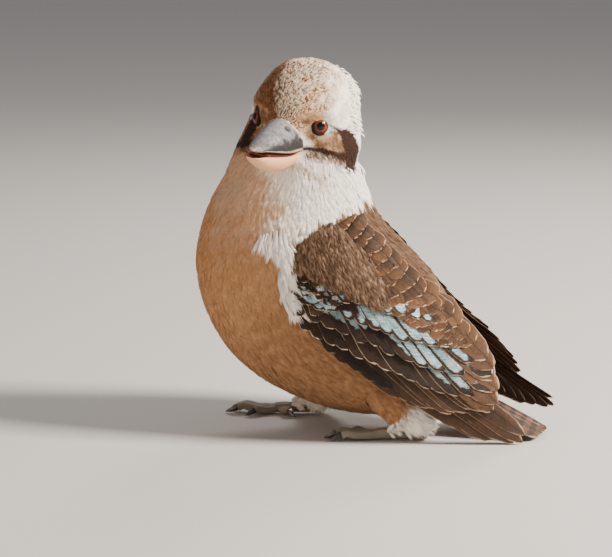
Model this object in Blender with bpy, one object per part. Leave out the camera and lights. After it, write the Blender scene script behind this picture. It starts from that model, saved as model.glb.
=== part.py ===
"""A young laughing kookaburra at rest, life size, as a still museum model.

Metres, +Z up. The bird faces -Y and its left side is +X. It squats with both
feet flat on the floor, the right one put forward, and looks round over its
left shoulder. The trunk, neck and head are one lofted skin, parted by thin cuts.
"""

import math

import bmesh
import bpy
import numpy as np
from mathutils import Vector

# Overall sizes
GAP = 0.0003  # between nodes that touch
FLOOR = 0.0
AROUND = 32  # facets round the trunk and head

# Trunk and neck: each ring's lowest or foremost point and its back point (y, z),
# its half width, and how far the neck has leant to the left by then
TRUNK_RINGS = [
    ("tail root", (0.0985, 0.0225), (0.1060, 0.0390), 0.0120, 0.0),
    ("vent", (0.0800, 0.0140), (0.1010, 0.0590), 0.0270, 0.0),
    ("lower belly", (0.0500, 0.0100), (0.0920, 0.0840), 0.0400, 0.0),
    ("belly", (0.0180, 0.0115), (0.0800, 0.1050), 0.0480, 0.0),
    ("flank", (-0.0120, 0.0200), (0.0670, 0.1200), 0.0520, 0.0),
    ("lower breast", (-0.0400, 0.0340), (0.0560, 0.1310), 0.0535, 0.0),
    ("breast", (-0.0630, 0.0550), (0.0470, 0.1395), 0.0540, 0.0),
    ("full breast", (-0.0780, 0.0830), (0.0410, 0.1475), 0.0530, 0.0),
    ("upper breast", (-0.0835, 0.1120), (0.0370, 0.1560), 0.0505, 0.0),
    ("collar", (-0.0800, 0.1360), (0.0340, 0.1650), 0.0465, 0.0005),
    ("neck base", (-0.0725, 0.1560), (0.0315, 0.1720), 0.0430, 0.0020),
    ("neck", (-0.0625, 0.1735), (0.0300, 0.1805), 0.0405, 0.0045),
]
COLLAR = 9  # the trunk ends on this ring
JAW = 11  # the neck ends on this ring

# Head: its place, how far it turns to the left and leans, and level rings of it
HEAD_CENTRE = Vector((0.0080, -0.0082, 0.2142))
HEAD_TURN = math.radians(73.0)
HEAD_LEAN = math.radians(5.0)
HEAD_RINGS = [  # height, front, back, half width, shift towards the breast
    ("jaw", -0.0260, 0.0385, 0.0405, 0.0412, 0.0036),
    ("gape", -0.0180, 0.0385, 0.0395, 0.0392, 0.0018),
    ("cheek", -0.0090, 0.0385, 0.0392, 0.0366, 0.0006),
    ("eye", 0.0000, 0.0375, 0.0400, 0.0345, 0.0000),
    ("forehead", 0.0100, 0.0345, 0.0440, 0.0325, 0.0000),
    ("crest", 0.0190, 0.0300, 0.0430, 0.0295, 0.0000),
    ("upper crown", 0.0262, 0.0245, 0.0350, 0.0245, 0.0000),
    ("crown", 0.0318, 0.0175, 0.0252, 0.0185, 0.0000),
    ("top", 0.0354, 0.0105, 0.0155, 0.0115, 0.0000),
    ("pole", 0.0373, 0.0000, 0.0000, 0.0000, 0.0000),
]
POLE_BACK = 0.0025  # the crown's highest point lies this far behind the centre

# Swellings and hollows of the face: forward, outward, up, radius, height
FACE_RELIEF = [
    ("lore hollow", 0.0310, 0.0200, -0.0120, 0.0115, -0.0065),
    ("socket", 0.0235, 0.0262, -0.0030, 0.0080, -0.0012),
    ("brow", 0.0200, 0.0270, 0.0075, 0.0080, 0.0016),
    ("ear coverts", -0.0060, 0.0350, -0.0140, 0.0130, 0.0030),
    ("chin hollow", 0.0400, 0.0000, -0.0330, 0.0120, -0.0040),
]

# Eyes
EYE_PLACE = Vector((0.0228, 0.0246, -0.0030))  # on the skin: forward, outward, up
EYE_AIM = Vector((0.52, 0.85, 0.06)).normalized()
EYE_RADIUS = 0.0070
EYE_DEPTH = 0.0052  # from the skin in to the ball's centre
LID_RADIUS = 0.0056
LID_THICKNESS = 0.0010

# Bill, in the head's frame: forward, then each edge's height or half width
BILL_ROOT = 0.0180
BILL_TIP = 0.0748
CULMEN = [
    (0.018, 0.0005), (0.0387, 0.0000), (0.052, -0.0046), (0.064, -0.0102), (0.071, -0.0140),
    (0.0748, -0.0166),
]
TOMIUM = [
    (0.018, -0.0188), (0.030, -0.0192), (0.044, -0.0200), (0.058, -0.0186), (0.068, -0.0174),
    (0.0748, -0.0176),
]
UPPER_WIDTH = [
    (0.018, 0.0150), (0.0300, 0.0150), (0.044, 0.0129), (0.058, 0.0099), (0.068, 0.0067),
    (0.0730, 0.0041), (0.0748, 0.0018),
]
GAPE_OPENING = [(0.018, 0.0006), (0.030, 0.0007), (0.044, 0.0018), (0.060, 0.0032), (0.0760, 0.0036)]
GONYS = [
    (0.018, -0.0300), (0.034, -0.0336), (0.046, -0.0336), (0.058, -0.0312), (0.068, -0.0270),
    (0.0735, -0.0236), (0.0752, -0.0218),
]
LOWER_WIDTH = [
    (0.018, 0.0140), (0.0300, 0.0143), (0.044, 0.0131), (0.058, 0.0097), (0.068, 0.0070),
    (0.0735, 0.0042), (0.0752, 0.0018),
]
NOSTRIL = Vector((0.0415, 0.0078, -0.0052))

# Folded wing: seen from the side it is a triangle from the wrist down to the tip
WING_WRIST = (-0.0152, 0.1040)  # (y, z)
WING_POSES = {
    "left": {"side": 1.0, "droop": math.radians(35.0), "slide": 0.0, "tucked": 0.0},
    "right": {"side": -1.0, "droop": math.radians(30.5), "slide": 0.0100, "tucked": 1.0},
}
# A tucked wing keeps this share of its height, as its upper edge lies down along the back
WING_TUCK = [
    (-0.02, 0.95), (0.0, 0.90), (0.04, 0.80), (0.066, 0.71), (0.09, 0.64), (0.13, 0.56),
    (0.155, 0.57), (0.175, 0.68), (0.189, 0.90),
]
WING_TOP = [
    (-0.02, 0.0400), (0.0, 0.0580), (0.02, 0.0670), (0.04, 0.0650), (0.068, 0.0600), (0.095, 0.0520),
    (0.129, 0.0410), (0.156, 0.0260), (0.175, 0.0150), (0.189, 0.0070),
]
WING_BULGE = [
    (-0.02, 0.0420), (0.0, 0.0520), (0.03, 0.0585), (0.07, 0.0580), (0.11, 0.0500), (0.15, 0.0400),
    (0.19, 0.0315),
]
WING_WRAP = [(-0.02, 0.90), (0.06, 0.93), (0.10, 0.84), (0.13, 0.62), (0.19, 0.30)]
WING_UNDERCUT = 45.0  # how fast the surface turns in towards its lower edge, per metre, squared
WING_FLESH = {"reaches": (-0.012, 0.105), "shares": (0.06, 0.94), "depth": 0.014, "under": 0.0005}

# Feathers of a folded wing, tier by tier from the lowest to the topmost. A tier runs from its
# lowest feather to its highest: roots and tips are (distance from the wrist, height) there and
# between, on the wing's surface, and lifts are the root's and the tip's off that surface.
WING_TIERS = [
    {
        "name": "primaries", "count": 7, "width": 0.0125, "lifts": (-0.0030, -0.0010),
        "roots": [(0.034, 0.000), (0.030, 0.016)],
        "tips": [(0.142, -0.010), (0.164, -0.007), (0.179, -0.001), (0.189, 0.006), (0.185, 0.011)],
    },
    {
        "name": "secondaries", "count": 8, "width": 0.0155, "lifts": (-0.0030, 0.0002),
        "roots": [(0.024, -0.003), (0.040, 0.034)],
        "tips": [(0.104, -0.011), (0.124, -0.008), (0.140, -0.001), (0.157, 0.013)],
    },
    {
        "name": "tertials", "count": 4, "width": 0.0170, "lifts": (-0.0025, 0.0009),
        "roots": [(0.048, 0.034), (0.052, 0.052)],
        "tips": [(0.158, 0.012), (0.156, 0.022), (0.146, 0.031), (0.134, 0.038)],
    },
    {
        "name": "primary coverts", "count": 4, "width": 0.0130, "lifts": (-0.0030, 0.0004),
        "roots": [(0.018, 0.002), (0.018, 0.012)],
        "tips": [(0.098, -0.012), (0.076, -0.013), (0.056, -0.012), (0.040, -0.010)],
    },
    {
        "name": "greater coverts", "count": 7, "width": 0.0150, "lifts": (-0.0025, 0.0012),
        "roots": [(0.003, 0.008), (0.022, 0.022), (0.074, 0.042)],
        "tips": [
            (0.032, -0.009), (0.050, -0.006), (0.083, 0.000), (0.115, 0.003), (0.134, 0.010), (0.149, 0.020),
        ],
    },
    {
        "name": "median coverts", "count": 6, "width": 0.0140, "lifts": (-0.0018, 0.0019),
        "roots": [(-0.008, 0.010), (0.012, 0.030), (0.056, 0.046)],
        "tips": [(0.012, 0.000), (0.036, 0.009), (0.062, 0.017), (0.090, 0.024), (0.110, 0.033)],
    },
    {
        "name": "scapulars", "count": 5, "width": 0.0170, "lifts": (-0.0015, 0.0024),
        "roots": [(-0.008, 0.030), (0.006, 0.050), (0.036, 0.062)],
        "tips": [(0.022, 0.032), (0.048, 0.046), (0.088, 0.050)],
    },
]

# A feather's blade: its width at each share of its length, its thickness at the edge and the
# shaft, and how steeply it tilts so that it lies over the next one down
VANE_SHAPE = [(0.0, 0.45), (0.40, 0.96), (0.86, 0.90), (1.0, 0.32)]
VANE_EDGE = 0.0005
VANE_SHAFT = 0.0010
VANE_TILT = 0.20

# Tail: its upper surface falls from the root (y, z) to the floor, domed across
TAIL_ROOT = (0.0780, 0.0480)
TAIL_TIP = (0.1560, 0.0052)
TAIL_DOME = 5.0  # fall per metre, squared, away from the middle
TAIL_FLESH = {"length": 0.036, "half_widths": (0.017, 0.010), "depth": 0.009}
TAIL_FEATHERS = {
    "count": 10, "width": 0.0140, "lift": -0.0012, "stack": 0.0006, "root": 0.004, "root_spacing": 0.0020,
    "tip_spacing": 0.0038, "tip_round": 0.0020,
}

# Feet: where the toes part from the shank (x, y), and the way they point
FEET = {
    "left": {"side": 1.0, "place": (0.0293, 0.0460), "turn": math.radians(8.0), "shank": 0.0310},
    "right": {"side": -1.0, "place": (-0.0364, -0.0320), "turn": math.radians(5.0), "shank": 0.0290},
}
TOES = {  # length, angle away from the body's midline, radius, claw length
    "inner": {"length": 0.0190, "splay": math.radians(-28.0), "radius": 0.0030, "claw": 0.0090},
    "middle": {"length": 0.0290, "splay": math.radians(-2.0), "radius": 0.0034, "claw": 0.0110},
    "outer": {"length": 0.0265, "splay": math.radians(12.0), "radius": 0.0032, "claw": 0.0095},
    "hind": {"length": 0.0130, "splay": math.radians(-126.0), "radius": 0.0029, "claw": 0.0085},
}
SHANK_RADIUS = 0.0040
THIGHS = {  # lower and upper end (x, y, z), lower and upper radius
    "left": ((0.0275, 0.0740, 0.0115), (0.0300, 0.0360, 0.0400), 0.0095, 0.0150),
    "right": ((-0.0385, -0.0040, 0.0110), (-0.0290, 0.0200, 0.0500), 0.0090, 0.0170),
}

COLOURS = {  # base colour and roughness
    "cream": ((0.62, 0.50, 0.37, 1.0), 0.85),
    "white": ((0.78, 0.74, 0.68, 1.0), 0.85),
    "crown": ((0.60, 0.50, 0.41, 1.0), 0.85),
    "brown": ((0.13, 0.075, 0.05, 1.0), 0.75),
    "rufous": ((0.22, 0.11, 0.06, 1.0), 0.75),
    "slate": ((0.13, 0.13, 0.14, 1.0), 0.35),
    "horn": ((0.80, 0.55, 0.40, 1.0), 0.40),
    "scaly": ((0.33, 0.28, 0.20, 1.0), 0.60),
    "claw": ((0.05, 0.04, 0.035, 1.0), 0.35),
    "iris": ((0.24, 0.06, 0.02, 1.0), 0.10),
}


def along(table, x):
    """A smooth curve through a table of (place, value) pairs, read at x."""
    knots = np.array(table, float)
    xs, ys = knots[:, 0], knots[:, 1]
    x = np.clip(np.asarray(x, float), xs[0], xs[-1])
    slope = np.gradient(ys, xs)
    i = np.clip(np.searchsorted(xs, x) - 1, 0, len(xs) - 2)
    width = xs[i + 1] - xs[i]
    t = (x - xs[i]) / width
    start = (1 + 2 * t) * (1 - t) ** 2 * ys[i] + t * (1 - t) ** 2 * width * slope[i]
    end = t * t * (3 - 2 * t) * ys[i + 1] - t * t * (1 - t) * width * slope[i + 1]
    return start + end


def head_axes():
    """The head's forward, left and up directions."""
    forward = Vector((math.sin(HEAD_TURN), -math.cos(HEAD_TURN), 0.0))
    level_left = Vector((math.cos(HEAD_TURN), math.sin(HEAD_TURN), 0.0))
    left = level_left * math.cos(HEAD_LEAN) - Vector((0, 0, 1)) * math.sin(HEAD_LEAN)
    return forward, left, forward.cross(left)


def head_place(forward, left, up):
    """A point of the head's own frame, in the bird's frame."""
    axes = head_axes()
    return HEAD_CENTRE + axes[0] * forward + axes[1] * left + axes[2] * up


def trunk_ring(ring, angle):
    """Points of a trunk ring: angle 0 is the belly or breast, 90 degrees the left."""
    _, belly, back, half_width, lean = ring
    belly, back = np.array(belly), np.array(back)
    centre, reach = (belly + back) / 2, (belly - back) / 2
    yz = centre + np.cos(angle)[:, None] * reach
    return np.column_stack([lean + half_width * np.sin(angle), yz])


def head_ring(ring, angle):
    """Points of a head ring at the same angles round the bird as the trunk's."""
    _, height, front, back, half_width, shift = ring
    forward, left, up = (np.array(a) for a in head_axes())
    centre = np.array(HEAD_CENTRE) + up * height - np.array([0, shift, 0])
    turned = angle - HEAD_TURN
    if half_width == 0.0:
        return np.tile(centre - forward * POLE_BACK, (len(angle), 1))
    length = np.where(np.cos(turned) > 0, front, back)
    reach = 1 / np.hypot(np.cos(turned) / length, np.sin(turned) / half_width)
    return centre + (reach * np.cos(turned))[:, None] * forward + (reach * np.sin(turned))[:, None] * left


def relieved(points):
    """The face's swellings and hollows pushed out of or into a set of points."""
    axes = np.array([list(a) for a in head_axes()])
    local = (points - np.array(HEAD_CENTRE)) @ axes.T
    outward = local * np.array([1.0, 1.0, 0.3])
    outward /= np.maximum(np.linalg.norm(outward, axis=1), 1e-6)[:, None]
    push = np.zeros(len(points))
    for _, forward, side, up, radius, height in FACE_RELIEF:
        for sign in (1, -1) if side else (1,):
            distance = np.linalg.norm(local - np.array([forward, sign * side, up]), axis=1)
            push += height * np.exp(-((distance / radius) ** 2))
    return points + (outward * push[:, None]) @ axes


def skin_ring(level, angle):
    """The skin at a level, counted in rings from the tail root to the crown."""
    rings = [(trunk_ring, r) for r in TRUNK_RINGS] + [(head_ring, r) for r in HEAD_RINGS]
    last = len(rings) - 1
    i = min(int(level), last - 1)
    t = level - i
    corners = [rings[min(max(i + k, 0), last)] for k in (-1, 0, 1, 2)]
    before, start, end, after = (make(ring, angle) for make, ring in corners)
    curve = (
        start * 2
        + (end - before) * t
        + (before * 2 - start * 5 + end * 4 - after) * t**2
        + (start * 3 - before - end * 3 + after) * t**3
    )
    return relieved(curve / 2)


def new_material(name):
    """One finish, from its colour and roughness."""
    colour, roughness = COLOURS[name]
    material = bpy.data.materials.new(name)
    material.use_nodes = True
    shader = material.node_tree.nodes["Principled BSDF"]
    shader.inputs["Base Color"].default_value = colour
    shader.inputs["Roughness"].default_value = roughness
    return material


def new_object(name, points, faces, finish=None):
    """A mesh object with its faces turned outwards."""
    mesh = bpy.data.meshes.new(name)
    mesh.from_pydata([tuple(p) for p in points], [], faces)
    shape = bmesh.new()
    shape.from_mesh(mesh)
    bmesh.ops.recalc_face_normals(shape, faces=shape.faces)
    bmesh.ops.triangulate(shape, faces=shape.faces)
    shape.to_mesh(mesh)
    shape.free()
    obj = bpy.data.objects.new(name, mesh)
    bpy.context.scene.collection.objects.link(obj)
    if finish:
        mesh.materials.append(bpy.data.materials.get(finish) or new_material(finish))
    return obj


def loft(rings):
    """Points and faces of a tube through rings of equal count, closed by fans.

    A ring of one point closes an end as a pole.
    """
    points, faces, starts = [], [], []
    for ring in rings:
        starts.append(len(points))
        points.extend(tuple(p) for p in ring)
    count = max(len(r) for r in rings)
    for a, b, low, high in zip(rings, rings[1:], starts, starts[1:]):
        for k in range(count):
            j = (k + 1) % count
            if len(a) == 1:
                faces.append((low, high + k, high + j))
            elif len(b) == 1:
                faces.append((low + k, low + j, high))
            else:
                faces.append((low + k, low + j, high + j))
                faces.append((low + k, high + j, high + k))
    for ring, start in ((rings[0], starts[0]), (rings[-1], starts[-1])):
        if len(ring) > 1:
            points.append(tuple(np.mean(np.array(ring, float), axis=0)))
            hub = len(points) - 1
            faces.extend((hub, start + (k + 1) % count, start + k) for k in range(count))
    return points, faces


def evaluated(obj):
    """The object's mesh with its modifiers applied."""
    graph = bpy.context.evaluated_depsgraph_get()
    graph.update()
    return bpy.data.meshes.new_from_object(obj.evaluated_get(graph))


def keep_largest(mesh):
    """Drops all but the largest closed surface of a mesh."""
    shape = bmesh.new()
    shape.from_mesh(mesh)
    unseen, shells = set(shape.verts), []
    while unseen:
        shell, edge = set(), [unseen.pop()]
        while edge:
            vertex = edge.pop()
            shell.add(vertex)
            near = {e.other_vert(vertex) for e in vertex.link_edges} & unseen
            unseen -= near
            edge.extend(near)
        shells.append(shell)
    shells.sort(key=len)
    loose = [v for shell in shells[:-1] for v in shell]
    bmesh.ops.delete(shape, geom=loose, context="VERTS")
    shape.to_mesh(mesh)
    shape.free()


def bake_modifier(obj, modifier):
    """Applies one modifier, and keeps the largest closed surface."""
    mesh = evaluated(obj)
    obj.modifiers.remove(modifier)
    old = obj.data
    obj.data = mesh
    bpy.data.meshes.remove(old)
    keep_largest(obj.data)


def fuse(obj, pieces, solver="EXACT"):
    """Joins the pieces to obj by one Boolean union, and removes them."""
    group = bpy.data.collections.new("pieces")
    bpy.context.scene.collection.children.link(group)
    for piece in pieces:
        group.objects.link(piece)
        bpy.context.scene.collection.objects.unlink(piece)
    modifier = obj.modifiers.new("join", "BOOLEAN")
    modifier.operation = "UNION"
    modifier.operand_type = "COLLECTION"
    modifier.collection = group
    modifier.solver = solver
    bake_modifier(obj, modifier)
    for piece in pieces:
        bpy.data.objects.remove(piece)
    bpy.data.collections.remove(group)


def grown(obj, by=GAP):
    """A copy of obj swollen by the gap between nodes, as a cutter."""
    mesh = obj.data.copy()
    moved = [v.co + v.normal * by * 1.15 for v in mesh.vertices]
    for vertex, place in zip(mesh.vertices, moved):
        vertex.co = place
    cutter = bpy.data.objects.new(obj.name + " cutter", mesh)
    bpy.context.scene.collection.objects.link(cutter)
    return cutter


def cut(obj, cutters, solver="EXACT"):
    """Takes the cutters out of obj, one after another, and removes them."""
    for cutter in cutters:
        modifier = obj.modifiers.new("cut", "BOOLEAN")
        modifier.operation = "DIFFERENCE"
        modifier.object = cutter
        modifier.solver = solver
        bake_modifier(obj, modifier)
        bpy.data.objects.remove(cutter)


def skin_piece(name, levels, finish, lift=0.0):
    """A closed length of the skin, its first ring lifted by the gap to its neighbour."""
    angle = np.linspace(0, 2 * math.pi, AROUND, endpoint=False)
    rings = [skin_ring(level, angle) for level in levels]
    if lift:
        across = np.cross(rings[0][AROUND // 4] - rings[0][0], rings[0][AROUND // 2] - rings[0][0])
        across /= np.linalg.norm(across)
        across *= np.sign(across[2])
        rings[0] = rings[0] + across * lift
    if levels[-1] == len(TRUNK_RINGS) + len(HEAD_RINGS) - 1:
        rings[-1] = rings[-1][:1]
    return new_object(name, *loft(rings), finish)


def torso():
    levels = list(np.linspace(0, COLLAR, 19))
    return skin_piece("torso", levels, "cream")


def neck():
    levels = list(np.linspace(COLLAR, JAW, 5))
    return skin_piece("neck", levels, "white", lift=GAP)


def frame_of(direction):
    """Two directions square to a direction and to each other."""
    direction = Vector(direction).normalized()
    side = direction.cross(Vector((0, 0, 1)))
    if side.length < 1e-4:
        side = direction.cross(Vector((0, 1, 0)))
    side.normalize()
    return side, side.cross(direction)


def ball(name, centre, radius, finish=None, segments=16):
    """A sphere, its poles up and down."""
    rows = [[centre + Vector((0, 0, -radius))]]
    for i in range(1, segments // 2):
        tilt = math.pi * i / (segments // 2)
        turn = [2 * math.pi * k / segments for k in range(segments)]
        out, down = math.sin(tilt), -math.cos(tilt)
        ring = [Vector((out * math.cos(a), out * math.sin(a), down)) for a in turn]
        rows.append([centre + p * radius for p in ring])
    rows.append([centre + Vector((0, 0, radius))])
    return new_object(name, *loft(rows), finish)


def hoop(name, centre, aim, radius, thickness, segments=20, facets=6):
    """A round ring of round section."""
    side, up = frame_of(aim)
    points = []
    for k in range(segments):
        turn = 2 * math.pi * k / segments
        out = side * math.cos(turn) + up * math.sin(turn)
        for j in range(facets):
            roll = 2 * math.pi * j / facets
            reach = radius + thickness * math.cos(roll)
            points.append(centre + out * reach + aim * thickness * math.sin(roll))
    faces = []
    for k in range(segments):
        for j in range(facets):
            a, b = k * facets, ((k + 1) % segments) * facets
            i = (j + 1) % facets
            faces.append((a + j, a + i, b + i, b + j))
    return new_object(name, points, faces)


def eye_centre(side):
    """The centre of an eyeball, and the way it looks."""
    forward, left, up = head_axes()
    skin = head_place(EYE_PLACE.x, EYE_PLACE.y * side, EYE_PLACE.z)
    aim = forward * EYE_AIM.x + left * EYE_AIM.y * side + up * EYE_AIM.z
    return skin - aim * EYE_DEPTH, aim


def eye(name, side):
    centre, _ = eye_centre(side)
    return ball(name, centre, EYE_RADIUS, "iris")


def mandible_ring(forward, edge, crest, half_width, count=14):
    """One section of a mandible: flat along its edge, arched to its crest."""
    turn = [math.pi * k / (count - 3) for k in range(count - 2)]
    arch = [(half_width * math.cos(a), edge + (crest - edge) * math.sin(a) ** 1.15) for a in turn]
    dip = (edge - crest) * 0.10
    flat = [(-half_width * 0.4, edge - dip), (half_width * 0.4, edge - dip)]
    return [head_place(forward, left, up) for left, up in arch + flat]


def bill_upper():
    places = np.concatenate([np.linspace(BILL_ROOT, 0.066, 9), [0.0700, 0.0728, BILL_TIP]])
    rings = [
        mandible_ring(x, along(TOMIUM, x), along(CULMEN, x), along(UPPER_WIDTH, x))
        for x in places
    ]
    upper = new_object("bill_upper", *loft(rings), "slate")
    slits = []
    for side in (1, -1):
        slit = ball("slit", Vector(), 0.0011, segments=12)
        for vertex in slit.data.vertices:
            local = vertex.co
            vertex.co = head_place(
                NOSTRIL.x + local.x * 2.2 - local.z * 0.6, (NOSTRIL.y + local.y) * side, NOSTRIL.z + local.z
            )
        if side < 0:
            slit.data.flip_normals()
        slits.append(slit)
    cut(upper, slits)
    return upper


def bill_lower():
    places = np.concatenate([np.linspace(BILL_ROOT, 0.066, 9), [0.0705, 0.0737, 0.0752]])
    rings = []
    for x in places:
        edge = along(TOMIUM, x) - along(GAPE_OPENING, x)
        rings.append(mandible_ring(x, edge, along(GONYS, x), along(LOWER_WIDTH, x)))
    return new_object("bill_lower", *loft(rings), "horn")


def head(bill, eyes):
    """The head with its lids, hollowed for the bill and the eyes."""
    top = len(TRUNK_RINGS) + len(HEAD_RINGS) - 1
    levels = list(np.linspace(JAW, top - 1, 15)) + [top - 0.5, top]
    skull = skin_piece("head", levels, "crown", lift=GAP)
    lids = []
    for side in (1, -1):
        centre, aim = eye_centre(side)
        reach = math.sqrt(EYE_RADIUS**2 - LID_RADIUS**2)
        lids.append(hoop("lid", centre + aim * (reach + 0.0002), aim, LID_RADIUS, LID_THICKNESS))
    fuse(skull, lids)
    cut(skull, [grown(part) for part in bill + eyes])
    return skull


def wing_axes(pose):
    """The wrist and the folded wing's long and upward directions, as (y, z)."""
    droop = pose["droop"]
    wrist = np.array([WING_WRIST[0] + pose["slide"], WING_WRIST[1]])
    return wrist, np.array([math.cos(droop), -math.sin(droop)]), np.array([math.sin(droop), math.cos(droop)])


def wing_shell(pose, reach, height):
    """The wing's outer surface at a distance from the wrist and above its lower edge."""
    wrist, long_way, high_way = wing_axes(pose)
    top = float(along(WING_TOP, reach))
    middle = 0.30 * top
    if height > middle:
        share = float(along(WING_WRAP, reach)) * (height - middle) / (top - middle)
        round_off = math.sqrt(max(1 - min(share, 0.985) ** 2, 0.0))
    else:
        round_off = 1 - WING_UNDERCUT * (middle - height) ** 2
    out = float(along(WING_BULGE, reach)) * round_off
    shown = 1 - pose["tucked"] * (1 - float(along(WING_TUCK, reach))) if height > 0 else 1.0
    y, z = wrist + long_way * reach + high_way * height * shown
    return Vector((out * pose["side"], y, z))


def wing_point(pose, reach, height, lift):
    """A point lifted off the wing's outer surface."""
    step = 0.001
    here = wing_shell(pose, reach, height)
    ahead = wing_shell(pose, reach + step, height) - wing_shell(pose, reach - step, height)
    above = wing_shell(pose, reach, height + step) - wing_shell(pose, reach, height - step)
    normal = above.cross(ahead).normalized()
    if normal.x * pose["side"] < 0:
        normal.negate()
    return here + normal * lift


def plate(name, surface, corners, depth, finish):
    """A closed plate under a surface: corners are its rows of (along, up) places."""
    rings = []
    for row in corners:
        outer = [surface(place, -WING_FLESH["under"]) for place in row]
        inner = [surface(place, -depth) for place in row[::-1]]
        rings.append(outer + inner)
    return new_object(name, *loft(rings), finish)


def vane(surface, root, tip, width, lifts, tilt=VANE_TILT):
    """A feather on a surface: a thin closed blade, tilted over its lower neighbour.

    Both of its faces are split into triangles alike.
    """
    root, tip = np.array(root), np.array(tip)
    ahead = (tip - root) / np.linalg.norm(tip - root)
    across = np.array([-ahead[1], ahead[0]])
    points, faces = [], []
    for t, share in VANE_SHAPE:
        centre, lift = root + (tip - root) * t, lifts[0] + (lifts[1] - lifts[0]) * t
        half = width / 2 * share
        for face in (1, -1):
            for column in (-1, 0, 1):
                thick = VANE_EDGE if column else VANE_SHAFT
                raised = lift - tilt * half * column + face * thick / 2
                points.append(surface(centre + across * half * column, raised))
    for row in range(len(VANE_SHAPE) - 1):
        low, high = row * 6, row * 6 + 6
        for a, b in ((0, 1), (1, 2), (3, 4), (4, 5)):
            faces += [(low + a, low + b, high + b), (low + a, high + b, high + a)]
        for a, b in ((0, 3), (2, 5)):
            faces.append((low + a, low + b, high + b, high + a))
    last = (len(VANE_SHAPE) - 1) * 6
    for start in (0, last):
        faces += [(start, start + 1, start + 4, start + 3), (start + 1, start + 2, start + 5, start + 4)]
    return new_object("vane", points, faces)


def spread(line, count):
    """Places spaced evenly along a line of (along, up) points."""
    line = np.array(line)
    steps = np.linalg.norm(np.diff(line, axis=0), axis=1)
    marks = np.concatenate([[0], np.cumsum(steps)])
    wanted = np.linspace(0, marks[-1], count)
    return np.column_stack([np.interp(wanted, marks, line[:, k]) for k in (0, 1)])


def wing(name, pose, cutters):
    """The flesh of a folded wing with its tiers of feathers fused to it."""
    def surface(place, lift):
        return wing_point(pose, place[0], place[1], lift)

    rows = []
    for reach in np.linspace(*WING_FLESH["reaches"], 9):
        top = float(along(WING_TOP, reach))
        rows.append([(reach, top * share) for share in np.linspace(*WING_FLESH["shares"], 7)])
    flesh = plate(name, surface, rows, WING_FLESH["depth"], "brown")
    feathers = []
    for tier in WING_TIERS:
        roots, tips = spread(tier["roots"], tier["count"]), spread(tier["tips"], tier["count"])
        feathers += [vane(surface, root, tip, tier["width"], tier["lifts"]) for root, tip in zip(roots, tips)]
    fuse(flesh, feathers, "MANIFOLD")
    cut(flesh, cutters, "MANIFOLD")
    return flesh


def tail_surface(place, lift):
    """A point over the tail's domed top: place is (distance from the root, to the left)."""
    root, tip = np.array(TAIL_ROOT), np.array(TAIL_TIP)
    length = np.linalg.norm(tip - root)
    ahead = (tip - root) / length
    y, z = root + ahead * place[0] + np.array([-ahead[1], ahead[0]]) * (lift - TAIL_DOME * place[1] ** 2)
    return Vector((place[1], y, max(z, FLOOR)))


def tail(cutters):
    """The tail's root with its feathers, the middle pair on top, tips on the floor."""
    near, far = TAIL_FLESH["half_widths"]
    rows = []
    for t in np.linspace(0, 1, 5):
        half_width = near + (far - near) * t
        rows.append([(TAIL_FLESH["length"] * t, half_width * side) for side in np.linspace(-1, 1, 7)])
    flesh = plate("tail", tail_surface, rows, TAIL_FLESH["depth"], "rufous")
    length = math.dist(TAIL_ROOT, TAIL_TIP)
    feathers, count = [], TAIL_FEATHERS["count"]
    for k in range(count):
        place = k - (count - 1) / 2
        lift = TAIL_FEATHERS["lift"] - TAIL_FEATHERS["stack"] * abs(place)
        root = (TAIL_FEATHERS["root"], place * TAIL_FEATHERS["root_spacing"])
        rounding = TAIL_FEATHERS["tip_round"] * (abs(place) / 4) ** 2
        tip = (length - rounding, place * TAIL_FEATHERS["tip_spacing"])
        tilt = math.copysign(0.08, place)
        feathers.append(vane(tail_surface, root, tip, TAIL_FEATHERS["width"], (lift - 0.002, lift), tilt))
    fuse(flesh, feathers, "MANIFOLD")
    cut(flesh, cutters, "MANIFOLD")
    return flesh


def tube(name, path, radii, finish=None, facets=8, floor=None, ways=(None, None)):
    """A tapering tube along a path, flattened where it would pass the floor.

    ways are the directions its first and last sections face, where they are set.
    """
    path = [Vector(p) for p in path]
    rings = []
    for i, (point, radius) in enumerate(zip(path, radii)):
        direction = path[min(i + 1, len(path) - 1)] - path[max(i - 1, 0)]
        if i == 0 and ways[0]:
            direction = ways[0]
        if i == len(path) - 1 and ways[1]:
            direction = ways[1]
        side, up = frame_of(direction)
        turns = [2 * math.pi * k / facets for k in range(facets)]
        ring = [point + side * radius * math.cos(a) + up * radius * math.sin(a) for a in turns]
        if floor is not None:
            ring = [Vector((p.x, p.y, max(p.z, floor))) for p in ring]
        rings.append(ring)
    return new_object(name, *loft(rings), finish)


def toe_path(stance, toe):
    """The toe's line from the shank to its last joint, then the way its claw starts."""
    heading = stance["turn"] + toe["splay"] * stance["side"]
    ahead = Vector((math.sin(heading), -math.cos(heading), 0.0))
    base = Vector((*stance["place"], 0.0))
    radius = toe["radius"]
    path, radii = [], []
    for k in range(9):
        t = k / 8
        arch = 0.0022 * math.exp(-(((t - 0.86) / 0.16) ** 2))
        pad = 1 + 0.07 * math.cos(2 * math.pi * 3 * t)
        radii.append(radius * (1.05 - 0.22 * t) * pad)
        path.append(base + ahead * toe["length"] * t + Vector((0, 0, radius * 0.86 * (1 - 0.12 * t) + arch)))
    return path, radii, ahead


def claw_way(ahead):
    """The way a claw leaves its toe: ahead and a little down."""
    return (ahead - Vector((0, 0, 0.30))).normalized()


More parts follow.
